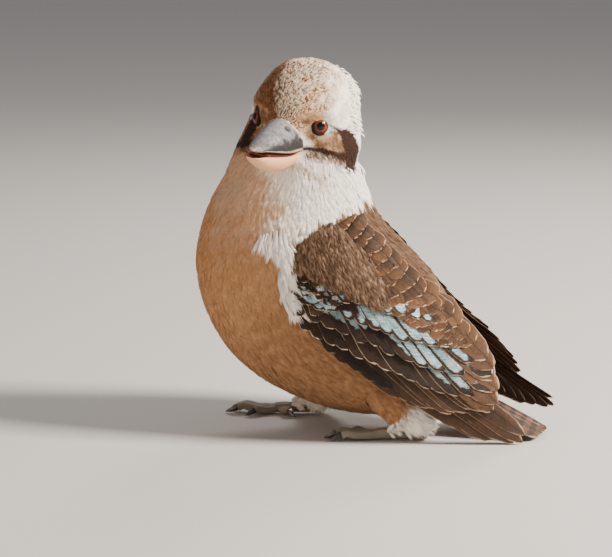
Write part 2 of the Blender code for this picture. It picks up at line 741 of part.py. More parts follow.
def foot(name, stance):
    """Toes and shank fused into one node."""
    base = Vector((*stance["place"], 0.0))
    back = Vector((-math.sin(stance["turn"]), math.cos(stance["turn"]), 0.0))
    start = base - back * 0.003
    lift = Vector((0, 0, SHANK_RADIUS * 0.88))
    path = [start + back * (stance["shank"] + 0.003) * t + lift for t in np.linspace(0, 1, 6)]
    radii = [SHANK_RADIUS * r for r in (0.85, 1.05, 0.95, 0.92, 1.0, 1.15)]
    shank = tube(name, path, radii, "scaly", floor=FLOOR)
    pieces = []
    for toe in TOES.values():
        toe_line, toe_radii, toe_ahead = toe_path(stance, toe)
        ends = (None, claw_way(toe_ahead))
        pieces.append(tube("toe", toe_line, toe_radii, floor=FLOOR, ways=ends))
    fuse(shank, pieces)
    return shank


def claw(name, stance, toe):
    """A curved claw from the toe's end down to the floor."""
    path, radii, ahead = toe_path(stance, toe)
    last, way = radii[-1], claw_way(ahead)
    point, pitch = path[-1] + way * GAP, math.asin(-way.z)
    line, sizes = [], []
    for k in range(8):
        size = last * (0.84 * (1 - k / 7) ** 0.75 + 0.06)
        line.append(Vector((point.x, point.y, max(point.z, size * 0.75))))
        sizes.append(size)
        bend = pitch + math.radians(50) * k / 7
        point = point + (ahead * math.cos(bend) - Vector((0, 0, math.sin(bend)))) * toe["claw"] / 7
    return tube(name, line, sizes, "claw", facets=6, floor=FLOOR, ways=(way, None))


def thigh(name, shape, cutters):
    """The feathered leg from the belly down to the shank."""
    low, high, low_radius, high_radius = shape
    low, high = Vector(low), Vector(high)
    path, radii = [], []
    for t in (0.0, 0.05, 0.14, 0.28, 0.45, 0.7, 1.0):
        path.append(low.lerp(high, t))
        hanging = 1 - min(1.0, 0.10 + t / 0.30)
        radii.append((low_radius + (high_radius - low_radius) * t) * math.sqrt(1 - hanging**2))
    puff = tube(name, path, radii, "white", facets=16, floor=GAP * 3)
    cut(puff, cutters)
    return puff


def settle_origin():
    """Moves every object so that the origin is under the middle of the whole bird."""
    bpy.context.view_layer.update()
    solids = [o for o in bpy.context.scene.objects if o.type == "MESH"]
    corners = np.array([o.matrix_world @ v.co for o in solids for v in o.data.vertices])
    low, high = corners.min(axis=0), corners.max(axis=0)
    bird = bpy.data.objects.new("bird", None)
    bpy.context.scene.collection.objects.link(bird)
    for obj in solids:
        obj.parent = bird
    bird.location = (-(low[0] + high[0]) / 2, -(low[1] + high[1]) / 2, -low[2])


def main():
    for obj in list(bpy.data.objects):
        bpy.data.objects.remove(obj)
    body = torso()
    throat = neck()
    bill = [bill_upper(), bill_lower()]
    eyes = [eye("eye_left", 1), eye("eye_right", -1)]
    head(bill, eyes)
    for side, pose in WING_POSES.items():
        wing("wing_" + side, pose, [grown(body), grown(throat)])
    tail([grown(body)])
    for side, stance in FEET.items():
        standing = foot("foot_" + side, stance)
        thigh("thigh_" + side, THIGHS[side], [grown(body), grown(standing)])
        for toe_name, toe in TOES.items():
            claw(f"claw_{side}_{toe_name}", stance, toe)
    for obj in bpy.context.scene.objects:
        if obj.type == "MESH":
            obj.data.shade_smooth()
            obj.data.set_sharp_from_angle(angle=math.radians(40))
    settle_origin()


main()
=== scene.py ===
import math

import bpy
import numpy as np
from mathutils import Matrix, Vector
from mathutils.kdtree import KDTree


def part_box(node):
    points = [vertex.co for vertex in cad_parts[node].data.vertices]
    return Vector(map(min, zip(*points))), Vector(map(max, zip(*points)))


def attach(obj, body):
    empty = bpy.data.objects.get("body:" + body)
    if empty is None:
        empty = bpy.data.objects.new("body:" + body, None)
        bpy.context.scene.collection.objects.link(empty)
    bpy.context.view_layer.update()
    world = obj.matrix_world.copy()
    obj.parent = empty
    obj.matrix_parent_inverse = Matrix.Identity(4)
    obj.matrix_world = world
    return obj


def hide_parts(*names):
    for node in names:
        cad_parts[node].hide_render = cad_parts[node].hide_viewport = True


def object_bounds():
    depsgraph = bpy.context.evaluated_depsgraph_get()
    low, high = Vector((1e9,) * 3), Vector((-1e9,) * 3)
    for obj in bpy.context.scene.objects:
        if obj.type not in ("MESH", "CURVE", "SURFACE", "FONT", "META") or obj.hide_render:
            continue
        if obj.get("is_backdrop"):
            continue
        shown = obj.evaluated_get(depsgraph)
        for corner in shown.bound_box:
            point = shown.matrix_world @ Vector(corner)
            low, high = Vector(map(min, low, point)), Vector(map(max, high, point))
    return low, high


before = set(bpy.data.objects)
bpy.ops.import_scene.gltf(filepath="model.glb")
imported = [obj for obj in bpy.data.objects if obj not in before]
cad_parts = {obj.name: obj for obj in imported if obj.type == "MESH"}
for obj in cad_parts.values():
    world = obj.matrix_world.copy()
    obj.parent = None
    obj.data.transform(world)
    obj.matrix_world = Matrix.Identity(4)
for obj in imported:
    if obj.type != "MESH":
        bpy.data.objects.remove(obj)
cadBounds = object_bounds()
chance = np.random.default_rng(11)  # seeded, so each run is the same
fullTurn = math.tau
upward = np.array([0, 0, 1.0])


# Small tools for numbers and meshes

def along(table, x):
    # a smooth curve through (place, value) pairs, read at x
    knots = np.array(table, float)
    xs, ys = knots[:, 0], knots[:, 1]
    x = np.clip(np.asarray(x, float), xs[0], xs[-1])
    slope = np.gradient(ys, xs)
    i = np.clip(np.searchsorted(xs, x) - 1, 0, len(xs) - 2)
    width = xs[i + 1] - xs[i]
    t = (x - xs[i]) / width
    start = (1 + 2 * t) * (1 - t) ** 2 * ys[i] + t * (1 - t) ** 2 * width * slope[i]
    end = t * t * (3 - 2 * t) * ys[i + 1] - t * t * (1 - t) * width * slope[i + 1]
    return start + end


def unit(v):
    return v / np.maximum(np.linalg.norm(v, axis=-1, keepdims=True), 1e-9)


def fade(low, high, x):
    # 0 below low, 1 above high, smooth between
    t = np.clip((x - low) / (high - low), 0, 1)
    return t * t * (3 - 2 * t)


def ripple(points, size, seed):
    # smooth noise from -1 to 1 with features of about that size
    dice = np.random.default_rng(seed)
    total = np.zeros(len(points))
    for _ in range(7):
        way = dice.normal(size=3)
        way *= fullTurn / size / np.linalg.norm(way) * dice.uniform(0.6, 1.4)
        total += np.sin(points @ way + dice.uniform(0, fullTurn))
    return np.clip(total / 3.2, -1, 1)


def tint(base, other, amount):
    # colours moved towards another colour, or towards other colours
    amount = np.broadcast_to(amount, len(base))[:, None]
    return base * (1 - amount) + np.array(other) * amount


def plain(colour, count):
    # one colour for many points
    return np.tile(np.array(colour, float), (count, 1))


def flatOn(normal, way):
    # the way, turned flat on a surface with this normal
    return unit(way - normal * (way * normal).sum(axis=-1, keepdims=True))


def squareTo(way):
    # two ways across this one, the first of them level
    sideways = unit(np.cross(way, upward))
    return sideways, np.cross(sideways, way)


def swing(turns, first, second):
    # ways at these angles from the first towards the second
    return np.cos(turns)[..., None] * first + np.sin(turns)[..., None] * second


def cellMiddles(grid):
    return (grid[:-1, :-1] + grid[1:, 1:]) / 2


def addPiece(name, points, faces, finish, replaced=(), fields=None, uv=None, normals=None):
    # one mesh piece from arrays, in the frame's own place, riding on the bird
    points = np.asarray(points, float).reshape(-1, 3) + shift
    faces = np.asarray(faces, int)
    mesh = bpy.data.meshes.new(name)
    corners = faces.shape[1]
    mesh.vertices.add(len(points))
    mesh.vertices.foreach_set("co", points.astype(np.float32).ravel())
    mesh.loops.add(faces.size)
    mesh.loops.foreach_set("vertex_index", faces.ravel().astype(np.int32))
    mesh.polygons.add(len(faces))
    mesh.polygons.foreach_set("loop_start", np.arange(0, faces.size, corners, dtype=np.int32))
    mesh.update(calc_edges=True)
    for label, values in (fields or {}).items():
        values = np.asarray(values, np.float32)
        if values.shape[1] == 4:
            mesh.attributes.new(label, "FLOAT_COLOR", "POINT").data.foreach_set("color", values.ravel())
        else:
            mesh.attributes.new(label, "FLOAT_VECTOR", "POINT").data.foreach_set("vector", values.ravel())
    if uv is not None:
        layer = mesh.uv_layers.new(name="OFBake")
        layer.data.foreach_set("uv", np.asarray(uv, np.float32)[faces.ravel()].ravel())
    mesh.shade_smooth()
    if normals is not None:
        mesh.normals_split_custom_set_from_vertices(unit(normals).tolist())
    mesh.materials.append(finish)
    piece = bpy.data.objects.new(name, mesh)
    bpy.context.scene.collection.objects.link(piece)
    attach(piece, "root")
    if replaced:
        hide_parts(*replaced)
    return piece


def tubeFaces(rows, around, closed=True):
    # quads of a grid of points, row by row, joined round if closed
    k = np.arange(around if closed else around - 1)
    low = np.arange(rows - 1)[:, None] * around
    a, b = low + k, low + (k + 1) % around
    return np.stack([a, b, b + around, a + around], axis=-1).reshape(-1, 4)


def endCaps(rows, around):
    # quads that close both ends of a tube with an even number of points round it
    k = np.arange(around // 2 - 1)
    cap = np.stack([k, k + 1, around - k - 2, around - k - 1], axis=-1)
    return np.concatenate([cap[:, ::-1], cap + (rows - 1) * around])


def closedTube(rows, around):
    return np.concatenate([tubeFaces(rows, around), endCaps(rows, around)])


# Finishes: shader sums are written on wires

class Wire:
    def __init__(self, tree, socket=None):
        self.tree = tree
        self.socket = socket

    def node(self, kind, settings=None, sockets=None, output=0):
        made = self.tree.nodes.new(kind)
        for key, value in (settings or {}).items():
            if key == "stops":
                ramp = made.color_ramp.elements
                while len(ramp) < len(value):
                    ramp.new(0.5)
                for stop, (place, colour) in zip(ramp, value):
                    stop.position = place
                    stop.color = (*colour, 1)
            else:
                setattr(made, key, value)
        for key, value in (sockets or {}).items():
            if isinstance(value, Wire):
                self.tree.links.new(value.socket, made.inputs[key])
            else:
                made.inputs[key].default_value = value
        return Wire(self.tree, made.outputs[output])

    def maths(self, operation, *values):
        return self.node("ShaderNodeMath", {"operation": operation}, dict(enumerate((self,) + values)))

    def __add__(self, other):
        return self.maths("ADD", other)

    def __sub__(self, other):
        return self.maths("SUBTRACT", other)

    def __rsub__(self, other):
        return (self * -1) + other

    def __mul__(self, other):
        return self.maths("MULTIPLY", other)

    __radd__ = __add__
    __rmul__ = __mul__

    def step(self, low, high):
        # 0 at low, 1 at high, smooth between
        sockets = {0: self, 1: low, 2: high, 3: 0.0, 4: 1.0}
        return self.node("ShaderNodeMapRange", {"interpolation_type": "SMOOTHSTEP"}, sockets)

    def mix(self, first, second):
        # this wire is the share of the second colour
        first, second = (c if isinstance(c, Wire) else (*c, 1) for c in (first, second))
        return self.node("ShaderNodeMix", {"data_type": "RGBA"}, {0: self, 6: first, 7: second}, 2)

    def shade(self, amount):
        # a colour made lighter or darker by a number
        parts = {0: self, "Scale": amount}
        return self.node("ShaderNodeVectorMath", {"operation": "SCALE"}, parts)

    def parts(self):
        split = self.node("ShaderNodeSeparateXYZ", None, {0: self}).socket.node
        return [Wire(self.tree, out) for out in split.outputs]

    def metres(self):
        return self.node("ShaderNodeTexCoord", output="Object")

    def field(self, name, output="Vector"):
        return self.node("ShaderNodeAttribute", {"attribute_name": name}, None, output)


def newFinish(name, constants):
    material = bpy.data.materials.new(name)
    material.use_nodes = True
    shader = material.node_tree.nodes["Principled BSDF"]
    for key, value in constants.items():
        shader.inputs[key].default_value = value
    return material, Wire(material.node_tree), shader


def feed(shader, **wires):
    for key, wire in wires.items():
        wire.tree.links.new(wire.socket, shader.inputs[key.replace("_", " ")])


def bump(wires, height, strength, distance):
    return wires.node("ShaderNodeBump", None, {"Strength": strength, "Distance": distance, "Height": height})


def speckles(wires, scale, detail=2.0, place=None):
    # noise in metres at a place, or else over the piece's own box
    sockets = {"Scale": scale, "Detail": detail}
    if place is not None:
        sockets["Vector"] = place
    return wires.node("ShaderNodeTexNoise", None, sockets)


coatLook = {"Roughness": 0.85, "Sheen Weight": 0.06, "Specular IOR Level": 0.2}
skinLook = {"Roughness": 0.9, "Specular IOR Level": 0.2}
featherLook = {"Roughness": 0.55, "Specular IOR Level": 0.22}
featherColours = {  # the pale blue runs between two colours
    "bar": (0.035, 0.018, 0.011),
    "blue": ((0.22, 0.46, 0.52), (0.80, 0.96, 0.95)),
    "shaft": (0.022, 0.012, 0.008),
    "coatShaft": (0.105, 0.045, 0.018),
}


def coatFinish():
    # soft body feathers: the plumage's colour in fine barbs, with a dark shaft mark on some
    material, wires, shader = newFinish("coatFinish", coatLook)
    lengthwise, sideways, tone = wires.field("strand").parts()
    plumage = wires.field("plumage", "Color")
    streak = wires.field("plumage", "Alpha")
    shaft = (1 - sideways.maths("ABSOLUTE").step(0.25, 0.85)) * lengthwise.step(0.30, 0.55)
    streaked = (shaft * streak).mix(plumage, featherColours["coatShaft"])
    barbs = (sideways * 15.0 + tone * 60.0).maths("SINE")
    # darker towards the root: painted shade between the tufts; the tone differs at random and the barbs make
    # fine lines
    light = lengthwise.step(0.15, 0.85) * 0.24 + tone * 0.14 + barbs * 0.09 + 0.74
    feed(shader, Base_Color=streaked.shade(light))
    return material


def skinFinish():
    material, wires, shader = newFinish("skinFinish", skinLook)
    grain = speckles(wires, 900.0, 3.0)
    plumage = wires.field("plumage", "Color")
    # the plumage's colour darkened by up to 0.3 with grain, as painted shade under the coat
    feed(shader, Base_Color=plumage.shade(grain * 0.3 + 0.70), Normal=bump(wires, grain, 0.5, 0.0006))
    return material


def featherFinish():
    # firm vanes: barbs, a shaft, pale edges, flecks of pale blue and dark bars
    material, wires, shader = newFinish("wingFeatherFinish", featherLook)
    lengthwise, sideways, tone = wires.field("strand").parts()
    distance, across, _ = wires.field("barb").parts()
    patch, edging, bars = wires.field("marks").parts()
    web, edge = wires.field("web", "Color"), wires.field("edge", "Color")
    side = sideways.maths("ABSOLUTE")
    slant = distance + across.maths("ABSOLUTE") * 1.1  # constant along a barb, in mm
    barbWay = wires.node("ShaderNodeCombineXYZ", None, {0: slant * 1.7, 1: sideways * 1.5, 2: tone * 60.0})
    fibre = speckles(wires, 1.0, 3.0, barbWay)
    mottle = speckles(wires, 420.0, 3.0, wires.metres())
    barbs = (slant * 9.0 + mottle * 4.0).maths("SINE")
    rim = side.maths("MAXIMUM", lengthwise.step(0.80, 1.0) * 0.62 + side * 0.50) + (fibre - 0.5) * 0.16
    fringe = rim.step(0.97 - edging, 1.0) * edging.step(0.0, 0.02)
    banding = (distance * 0.75 + mottle * 1.5).maths("SINE").step(-0.2, 0.5) * bars
    clumps = speckles(wires, 330.0, 2.0, wires.metres())
    spot = (1 - lengthwise.step(0.88, 0.99)) * (1 - side.step(0.40, 0.88))
    blue = (spot * (fibre * 1.2 + clumps * 2.2 - 0.85) * patch * 1.9).step(0.22, 0.80)
    body = web.shade(side * 0.62 + fibre * 0.75 + (mottle - 0.5) * 1.1 + 0.35)
    body = banding.mix(body, featherColours["bar"])
    body = (fringe * 0.85).mix(body, edge)
    body = blue.mix(body, fibre.step(0.40, 0.62).mix(*featherColours["blue"]))
    shaft = 1 - side.step(0.02, 0.06)
    body = (shaft * 0.45).mix(body, featherColours["shaft"])
    # darker towards the root: painted shade where the next feather overlaps; the tone differs at random
    light = (barbs * 0.07 + tone * 0.42 + 0.66) * (lengthwise.step(0.50, 0.97) * 0.55 + 0.50)
    relief = barbs * 0.5 + shaft * 1.6 + fibre * 1.2
    feed(shader, Base_Color=body.shade(light), Normal=bump(wires, relief, 0.6, 0.0003))
    return material


# The bird's frame: heading -Y, its left side +X, standing on z = 0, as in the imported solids

headPose = {"centre": (0.0080, -0.0082, 0.2142), "turn": 73.0, "lean": 5.0}
eyeForm = {
    "place": (0.0228, 0.0246, -0.0030),  # on the skin: forward, outward, up
    "aim": (0.52, 0.85, 0.06),
    "radius": 0.0070,
    "depth": 0.0052,
    "cornea": (0.035, 0.55),  # its rise as a share of the radius, and its spread in radians
    "mesh": (40, 48),
    "look": (0.80, 0.60, 0.10),  # the way the pupils point
    "lidAim": (0.60, 0.79, 0.08),
    "lidRadius": 0.0052,
    "lidOval": 0.04,
    "lidReach": 1.45,  # radians from the opening's middle to the lid's hidden edge
    "lidProfile": [  # share of the way to that edge, and height over the ball
        (1.0, -0.0002), (0.5, 0.0003), (0.25, 0.00055), (0.10, 0.0006), (0.02, 0.00045), (0.0, 0.0001),
        (0.12, -0.0008), (1.0, -0.0012),
    ],
}
headTurn, headLean = math.radians(headPose["turn"]), math.radians(headPose["lean"])
headCentre = np.array(headPose["centre"])
headForward = np.array([math.sin(headTurn), -math.cos(headTurn), 0.0])
headLeft = np.array([
    math.cos(headTurn) * math.cos(headLean), math.sin(headTurn) * math.cos(headLean), -math.sin(headLean),
])
headUp = np.cross(headForward, headLeft)
headAxes = np.array([headForward, headLeft, headUp])


def headPlace(forward, left, up):
    parts = np.stack(np.broadcast_arrays(forward, left, up), axis=-1)
    return headCentre + parts @ headAxes


def toHead(points):
    return (points - headCentre) @ headAxes.T


def fromEye(local):
    # how far places on the head are from the eye on their side
    mirrored = np.column_stack([local[:, 0], np.abs(local[:, 1]), local[:, 2]])
    return np.linalg.norm(mirrored - np.array(eyeForm["place"]), axis=1)


def eyeAim(side, key="aim"):
    x, y, z = unit(np.array(eyeForm[key]))
    return headForward * x + headLeft * y * side + headUp * z


def eyeCentre(side):
    x, y, z = eyeForm["place"]
    return headPlace(x, y * side, z) - eyeAim(side) * eyeForm["depth"]


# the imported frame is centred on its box, and the left eye shows how far it has moved
eyeLow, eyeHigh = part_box("eye_left")
shift = (np.array(eyeLow) + np.array(eyeHigh)) / 2 - eyeCentre(1)


# Skin: one surface from the tail root to the crown

trunkRings = [  # lowest or foremost point and back point (y, z), half width, lean to the left
    ((0.0985, 0.0225), (0.1060, 0.0390), 0.0120, 0.0),
    ((0.0800, 0.0140), (0.1010, 0.0590), 0.0270, 0.0),
    ((0.0500, 0.0100), (0.0920, 0.0840), 0.0400, 0.0),
    ((0.0180, 0.0115), (0.0800, 0.1050), 0.0480, 0.0),
    ((-0.0120, 0.0200), (0.0670, 0.1200), 0.0520, 0.0),
    ((-0.0400, 0.0340), (0.0560, 0.1310), 0.0535, 0.0),
    ((-0.0630, 0.0550), (0.0470, 0.1395), 0.0540, 0.0),
    ((-0.0780, 0.0830), (0.0410, 0.1475), 0.0530, 0.0),
    ((-0.0835, 0.1120), (0.0370, 0.1560), 0.0505, 0.0),
    ((-0.0800, 0.1360), (0.0340, 0.1650), 0.0465, 0.0005),
    ((-0.0725, 0.1560), (0.0315, 0.1720), 0.0430, 0.0020),
    ((-0.0625, 0.1735), (0.0300, 0.1805), 0.0405, 0.0045),
]
headRings = [  # height, front, back, half width, shift towards the breast
    (-0.0260, 0.0385, 0.0405, 0.0412, 0.0036),
    (-0.0180, 0.0385, 0.0395, 0.0392, 0.0018),
    (-0.0090, 0.0385, 0.0392, 0.0366, 0.0006),
    (0.0000, 0.0375, 0.0400, 0.0345, 0.0000),
    (0.0100, 0.0345, 0.0440, 0.0325, 0.0000),
    (0.0190, 0.0300, 0.0430, 0.0295, 0.0000),
    (0.0262, 0.0245, 0.0350, 0.0245, 0.0000),
    (0.0318, 0.0175, 0.0252, 0.0185, 0.0000),
    (0.0354, 0.0105, 0.0155, 0.0115, 0.0000),
    (0.0373, 0.0000, 0.0000, 0.0000, 0.0000),
]
poleBack = 0.0025
jawLevel = len(trunkRings) - 1
crownLevel = len(trunkRings) + len(headRings) - 1
faceRelief = [  # forward, outward, up, radius, height
    (0.0310, 0.0200, -0.0120, 0.0115, -0.0065),  # lore
    (0.0235, 0.0262, -0.0030, 0.0080, -0.0012),  # eye socket
    (0.0200, 0.0270, 0.0075, 0.0080, 0.0016),  # brow
    (-0.0060, 0.0350, -0.0140, 0.0130, 0.0030),  # ear coverts
    (0.0400, 0.0000, -0.0330, 0.0120, -0.0040),  # chin
]


def trunkRing(ring, angle):
    belly, back, halfWidth, leanLeft = ring
    belly, back = np.array(belly), np.array(back)
    centre, reach = (belly + back) / 2, (belly - back) / 2
    yz = centre + np.cos(angle)[:, None] * reach
    return np.column_stack([leanLeft + halfWidth * np.sin(angle), yz])


def headRing(ring, angle):
    height, front, back, halfWidth, toBreast = ring
    centre = headCentre + headUp * height - np.array([0, toBreast, 0])
    if halfWidth == 0:
        return np.tile(centre - headForward * poleBack, (len(angle), 1))
    turned = angle - headTurn
    length = np.where(np.cos(turned) > 0, front, back)
    reach = 1 / np.hypot(np.cos(turned) / length, np.sin(turned) / halfWidth)
    ahead, aside = reach * np.cos(turned), reach * np.sin(turned)
    return centre + ahead[:, None] * headForward + aside[:, None] * headLeft


def relieved(points):
    # the face's hollows and swellings
    local = toHead(points)
    outward = unit(local * np.array([1.0, 1.0, 0.3]))
    push = np.zeros(len(points))
    for forward, side, up, radius, height in faceRelief:
        for sign in (1, -1) if side else (1,):
            gap = np.linalg.norm(local - np.array([forward, sign * side, up]), axis=1)
            push += height * np.exp(-((gap / radius) ** 2))
    return points + (outward * push[:, None]) @ headAxes


def skinRing(level, angle):
    # a smooth curve through the rings, read at a level between them
    rings = [(trunkRing, r) for r in trunkRings] + [(headRing, r) for r in headRings]
    last = len(rings) - 1
    i = min(int(level), last - 1)
    t = level - i
    corners = [rings[min(max(i + k, 0), last)] for k in (-1, 0, 1, 2)]
    before, start, end, after = (make(ring, angle) for make, ring in corners)
    curve = (
        start * 2
        + (end - before) * t
        + (before * 2 - start * 5 + end * 4 - after) * t**2
        + (start * 3 - before - end * 3 + after) * t**3
    )
    return relieved(curve / 2)


skinMesh = {"around": 240, "levels": 340}
skinLevels = np.linspace(0, crownLevel, skinMesh["levels"])
skinAngles = np.linspace(0, fullTurn, skinMesh["around"] + 1)
skinGrid = np.array([skinRing(level, skinAngles) for level in skinLevels])


def gridNormals(grid):
    goesUp, goesRound = np.gradient(grid, axis=(0, 1))
    goesRound[:, 0] = goesRound[:, -1] = (grid[:, 1] - grid[:, -2]) / 2
    normals = unit(np.cross(goesRound, goesUp))
    middle = grid[:, :-1].mean(axis=1, keepdims=True)
    flip = np.sign(((grid - middle) * normals).sum(axis=(1, 2)))
    normals *= np.where(flip == 0, 1, flip)[:, None, None]
    normals[-1] = headUp
    return normals


def gridLie(grid, normals):
    # feathers point away from the bill on the head, and to the tail below it
    down = unit(-np.gradient(grid, axis=0))
    billRoot = headPlace(0.036, 0.0, -0.006)
    away = unit(grid - billRoot)
    behind = fade(-0.015, 0.035, -((grid - headCentre) @ headForward))[..., None]
    away = unit(away - headUp * 0.9 * behind)
    share = fade(jawLevel + 0.4, jawLevel + 3.0, skinLevels)[:, None, None]
    return flatOn(normals, down * (1 - share) + away * share)


def onUnwrap(angle, level):
    # a place's own spot on the skin's unwrap
    return np.column_stack([angle / fullTurn, level / crownLevel]) * 0.98 + 0.01


skinNormals = gridNormals(skinGrid)
skinLie = gridLie(skinGrid, skinNormals)
ringGaps = np.linalg.norm(np.diff(skinGrid, axis=0), axis=2)
skinArc = np.concatenate([np.zeros((1, len(skinAngles))), np.cumsum(ringGaps, axis=0)])


def readGrid(grid, row, column):
    # a grid's value between its points
    i = np.clip(row.astype(int), 0, grid.shape[0] - 2)
    j = np.clip(column.astype(int), 0, grid.shape[1] - 2)
    s, t = row - i, column - j
    if grid.ndim == 3:
        s, t = s[:, None], t[:, None]
    low = grid[i, j] * (1 - t) + grid[i, j + 1] * t
    high = grid[i + 1, j] * (1 - t) + grid[i + 1, j + 1] * t
    return low * (1 - s) + high * s


# Folded wings: a surface measured from the wrist, along the wing and up from its lower edge

wingForm = {
    "wrist": (-0.0152, 0.1040),
    "left": {"side": 1.0, "droop": 35.0, "slide": 0.0, "tucked": 0.0},
    "right": {"side": -1.0, "droop": 30.5, "slide": 0.0100, "tucked": 1.0},
    "tuck": [  # share of its height that a tucked wing keeps
        (-0.02, 0.95), (0.0, 0.90), (0.04, 0.80), (0.066, 0.71), (0.09, 0.64),
        (0.13, 0.56), (0.155, 0.57), (0.175, 0.68), (0.189, 0.90),
    ],
    "top": [
        (-0.02, 0.0400), (0.0, 0.0580), (0.02, 0.0670), (0.04, 0.0650), (0.068, 0.0600),
        (0.095, 0.0520), (0.129, 0.0410), (0.156, 0.0260), (0.175, 0.0150), (0.189, 0.0070),
    ],
    "bulge": [
        (-0.02, 0.0420), (0.0, 0.0520), (0.03, 0.0585), (0.07, 0.0580), (0.11, 0.0500),
        (0.15, 0.0400), (0.19, 0.0315),
    ],
    "widest": 0.30,  # share of the height
    "undercut": 45.0,
    "wrap": [(-0.02, 0.90), (0.06, 0.93), (0.10, 0.84), (0.13, 0.62), (0.19, 0.30)],
}


def wingAxes(name):
    pose = wingForm[name]
    droop = math.radians(pose["droop"])
    wrist = np.array([wingForm["wrist"][0] + pose["slide"], wingForm["wrist"][1]])
    longWay = np.array([math.cos(droop), -math.sin(droop)])
    return wrist, longWay, np.array([-longWay[1], longWay[0]])


def keptHeight(name, reach):
    # the share of its height that a tucked wing keeps
    return 1 - wingForm[name]["tucked"] * (1 - along(wingForm["tuck"], reach))


def wingShell(name, reach, height):
    wrist, longWay, highWay = wingAxes(name)
    top = along(wingForm["top"], reach)
    middle = wingForm["widest"] * top
    share = along(wingForm["wrap"], reach) * (height - middle) / (top - middle)
    upper = np.sqrt(np.maximum(1 - np.clip(share, 0, 0.985) ** 2, 0))
    lower = 1 - wingForm["undercut"] * (middle - height) ** 2
    out = along(wingForm["bulge"], reach) * np.where(height > middle, upper, lower)
    kept = np.where(height > 0, keptHeight(name, reach), 1.0)
    yz = wrist + reach[..., None] * longWay + (height * kept)[..., None] * highWay
    return np.concatenate([(out * wingForm[name]["side"])[..., None], yz], axis=-1)


def wingFrame(name, reach, height):
    # the surface's point, its outward normal, and the ways along and up it
    step = 0.001
    here = wingShell(name, reach, height)
    ahead = wingShell(name, reach + step, height) - wingShell(name, reach - step, height)
    above = wingShell(name, reach, height + step) - wingShell(name, reach, height - step)
    normal = unit(np.cross(above, ahead)) * wingForm[name]["side"]
    normal *= np.where(normal[..., :1] * wingForm[name]["side"] < 0, -1, 1)
    return here, normal, unit(ahead), unit(above)


def wingSurface(name, place, lift):
    here, normal, _, _ = wingFrame(name, place[..., 0], place[..., 1])
    return here + normal * lift[..., None]


def onWing(name, points):
    # where points lie along and up a wing
    wrist, longWay, highWay = wingAxes(name)
    yz = points[:, 1:] - wrist
    reach, height = yz @ longWay, yz @ highWay
    return reach, np.where(height > 0, height / keptHeight(name, reach), height)


# Tail: a domed surface falling to the floor

tailForm = {"root": (0.0780, 0.0480), "tip": (0.1560, 0.0052), "dome": 5.0}


def tailSurface(name, place, lift):
    root, tip = np.array(tailForm["root"]), np.array(tailForm["tip"])
    ahead = (tip - root) / np.linalg.norm(tip - root)
    square = np.array([-ahead[1], ahead[0]])
    rise = lift - tailForm["dome"] * place[..., 1] ** 2
    yz = root + place[..., :1] * ahead + rise[..., None] * square
    return np.concatenate([place[..., 1:2], yz], axis=-1)


# Plumage: one set of markings and painted shade for the skin and for each tuft's root

plumageColours = {
    # the breast's deep tan is its own buff with painted warm shade
    "breast": (0.45, 0.195, 0.068),
    "breastPale": (0.65, 0.385, 0.20),
    # painted shade: the underside darker
    "bellyShade": (0.235, 0.122, 0.058),
    "white": (0.97, 0.91, 0.82),
    "bar": (0.17, 0.075, 0.030),
    "mantle": (0.095, 0.050, 0.027),
    "mantlePale": (0.23, 0.125, 0.065),
    "rump": (0.30, 0.20, 0.13),
    "crown": (0.80, 0.53, 0.32),
    "crownPale": (0.88, 0.71, 0.53),
    "crownShade": (0.27, 0.098, 0.022),
    "rufous": (0.19, 0.088, 0.040),
    "dash": (0.120, 0.050, 0.019),
    "creaseShadeAndMottle": (0.50, 0.37, 0.25),
    "mask": (0.032, 0.013, 0.006),
}
markings = {
    "barStep": 0.0052,
    "barShare": 0.50,
    "bellyShade": 0.72,
    "throat": (8.4, 10.6),  # levels between which the tan gives way to white
    "backEdge": 7.55,  # level of the ruff's lower edge
    "dashStep": 0.0034,
    "streaks": {"cap": 0.25, "shaded": 0.35, "back": 0.22},
}
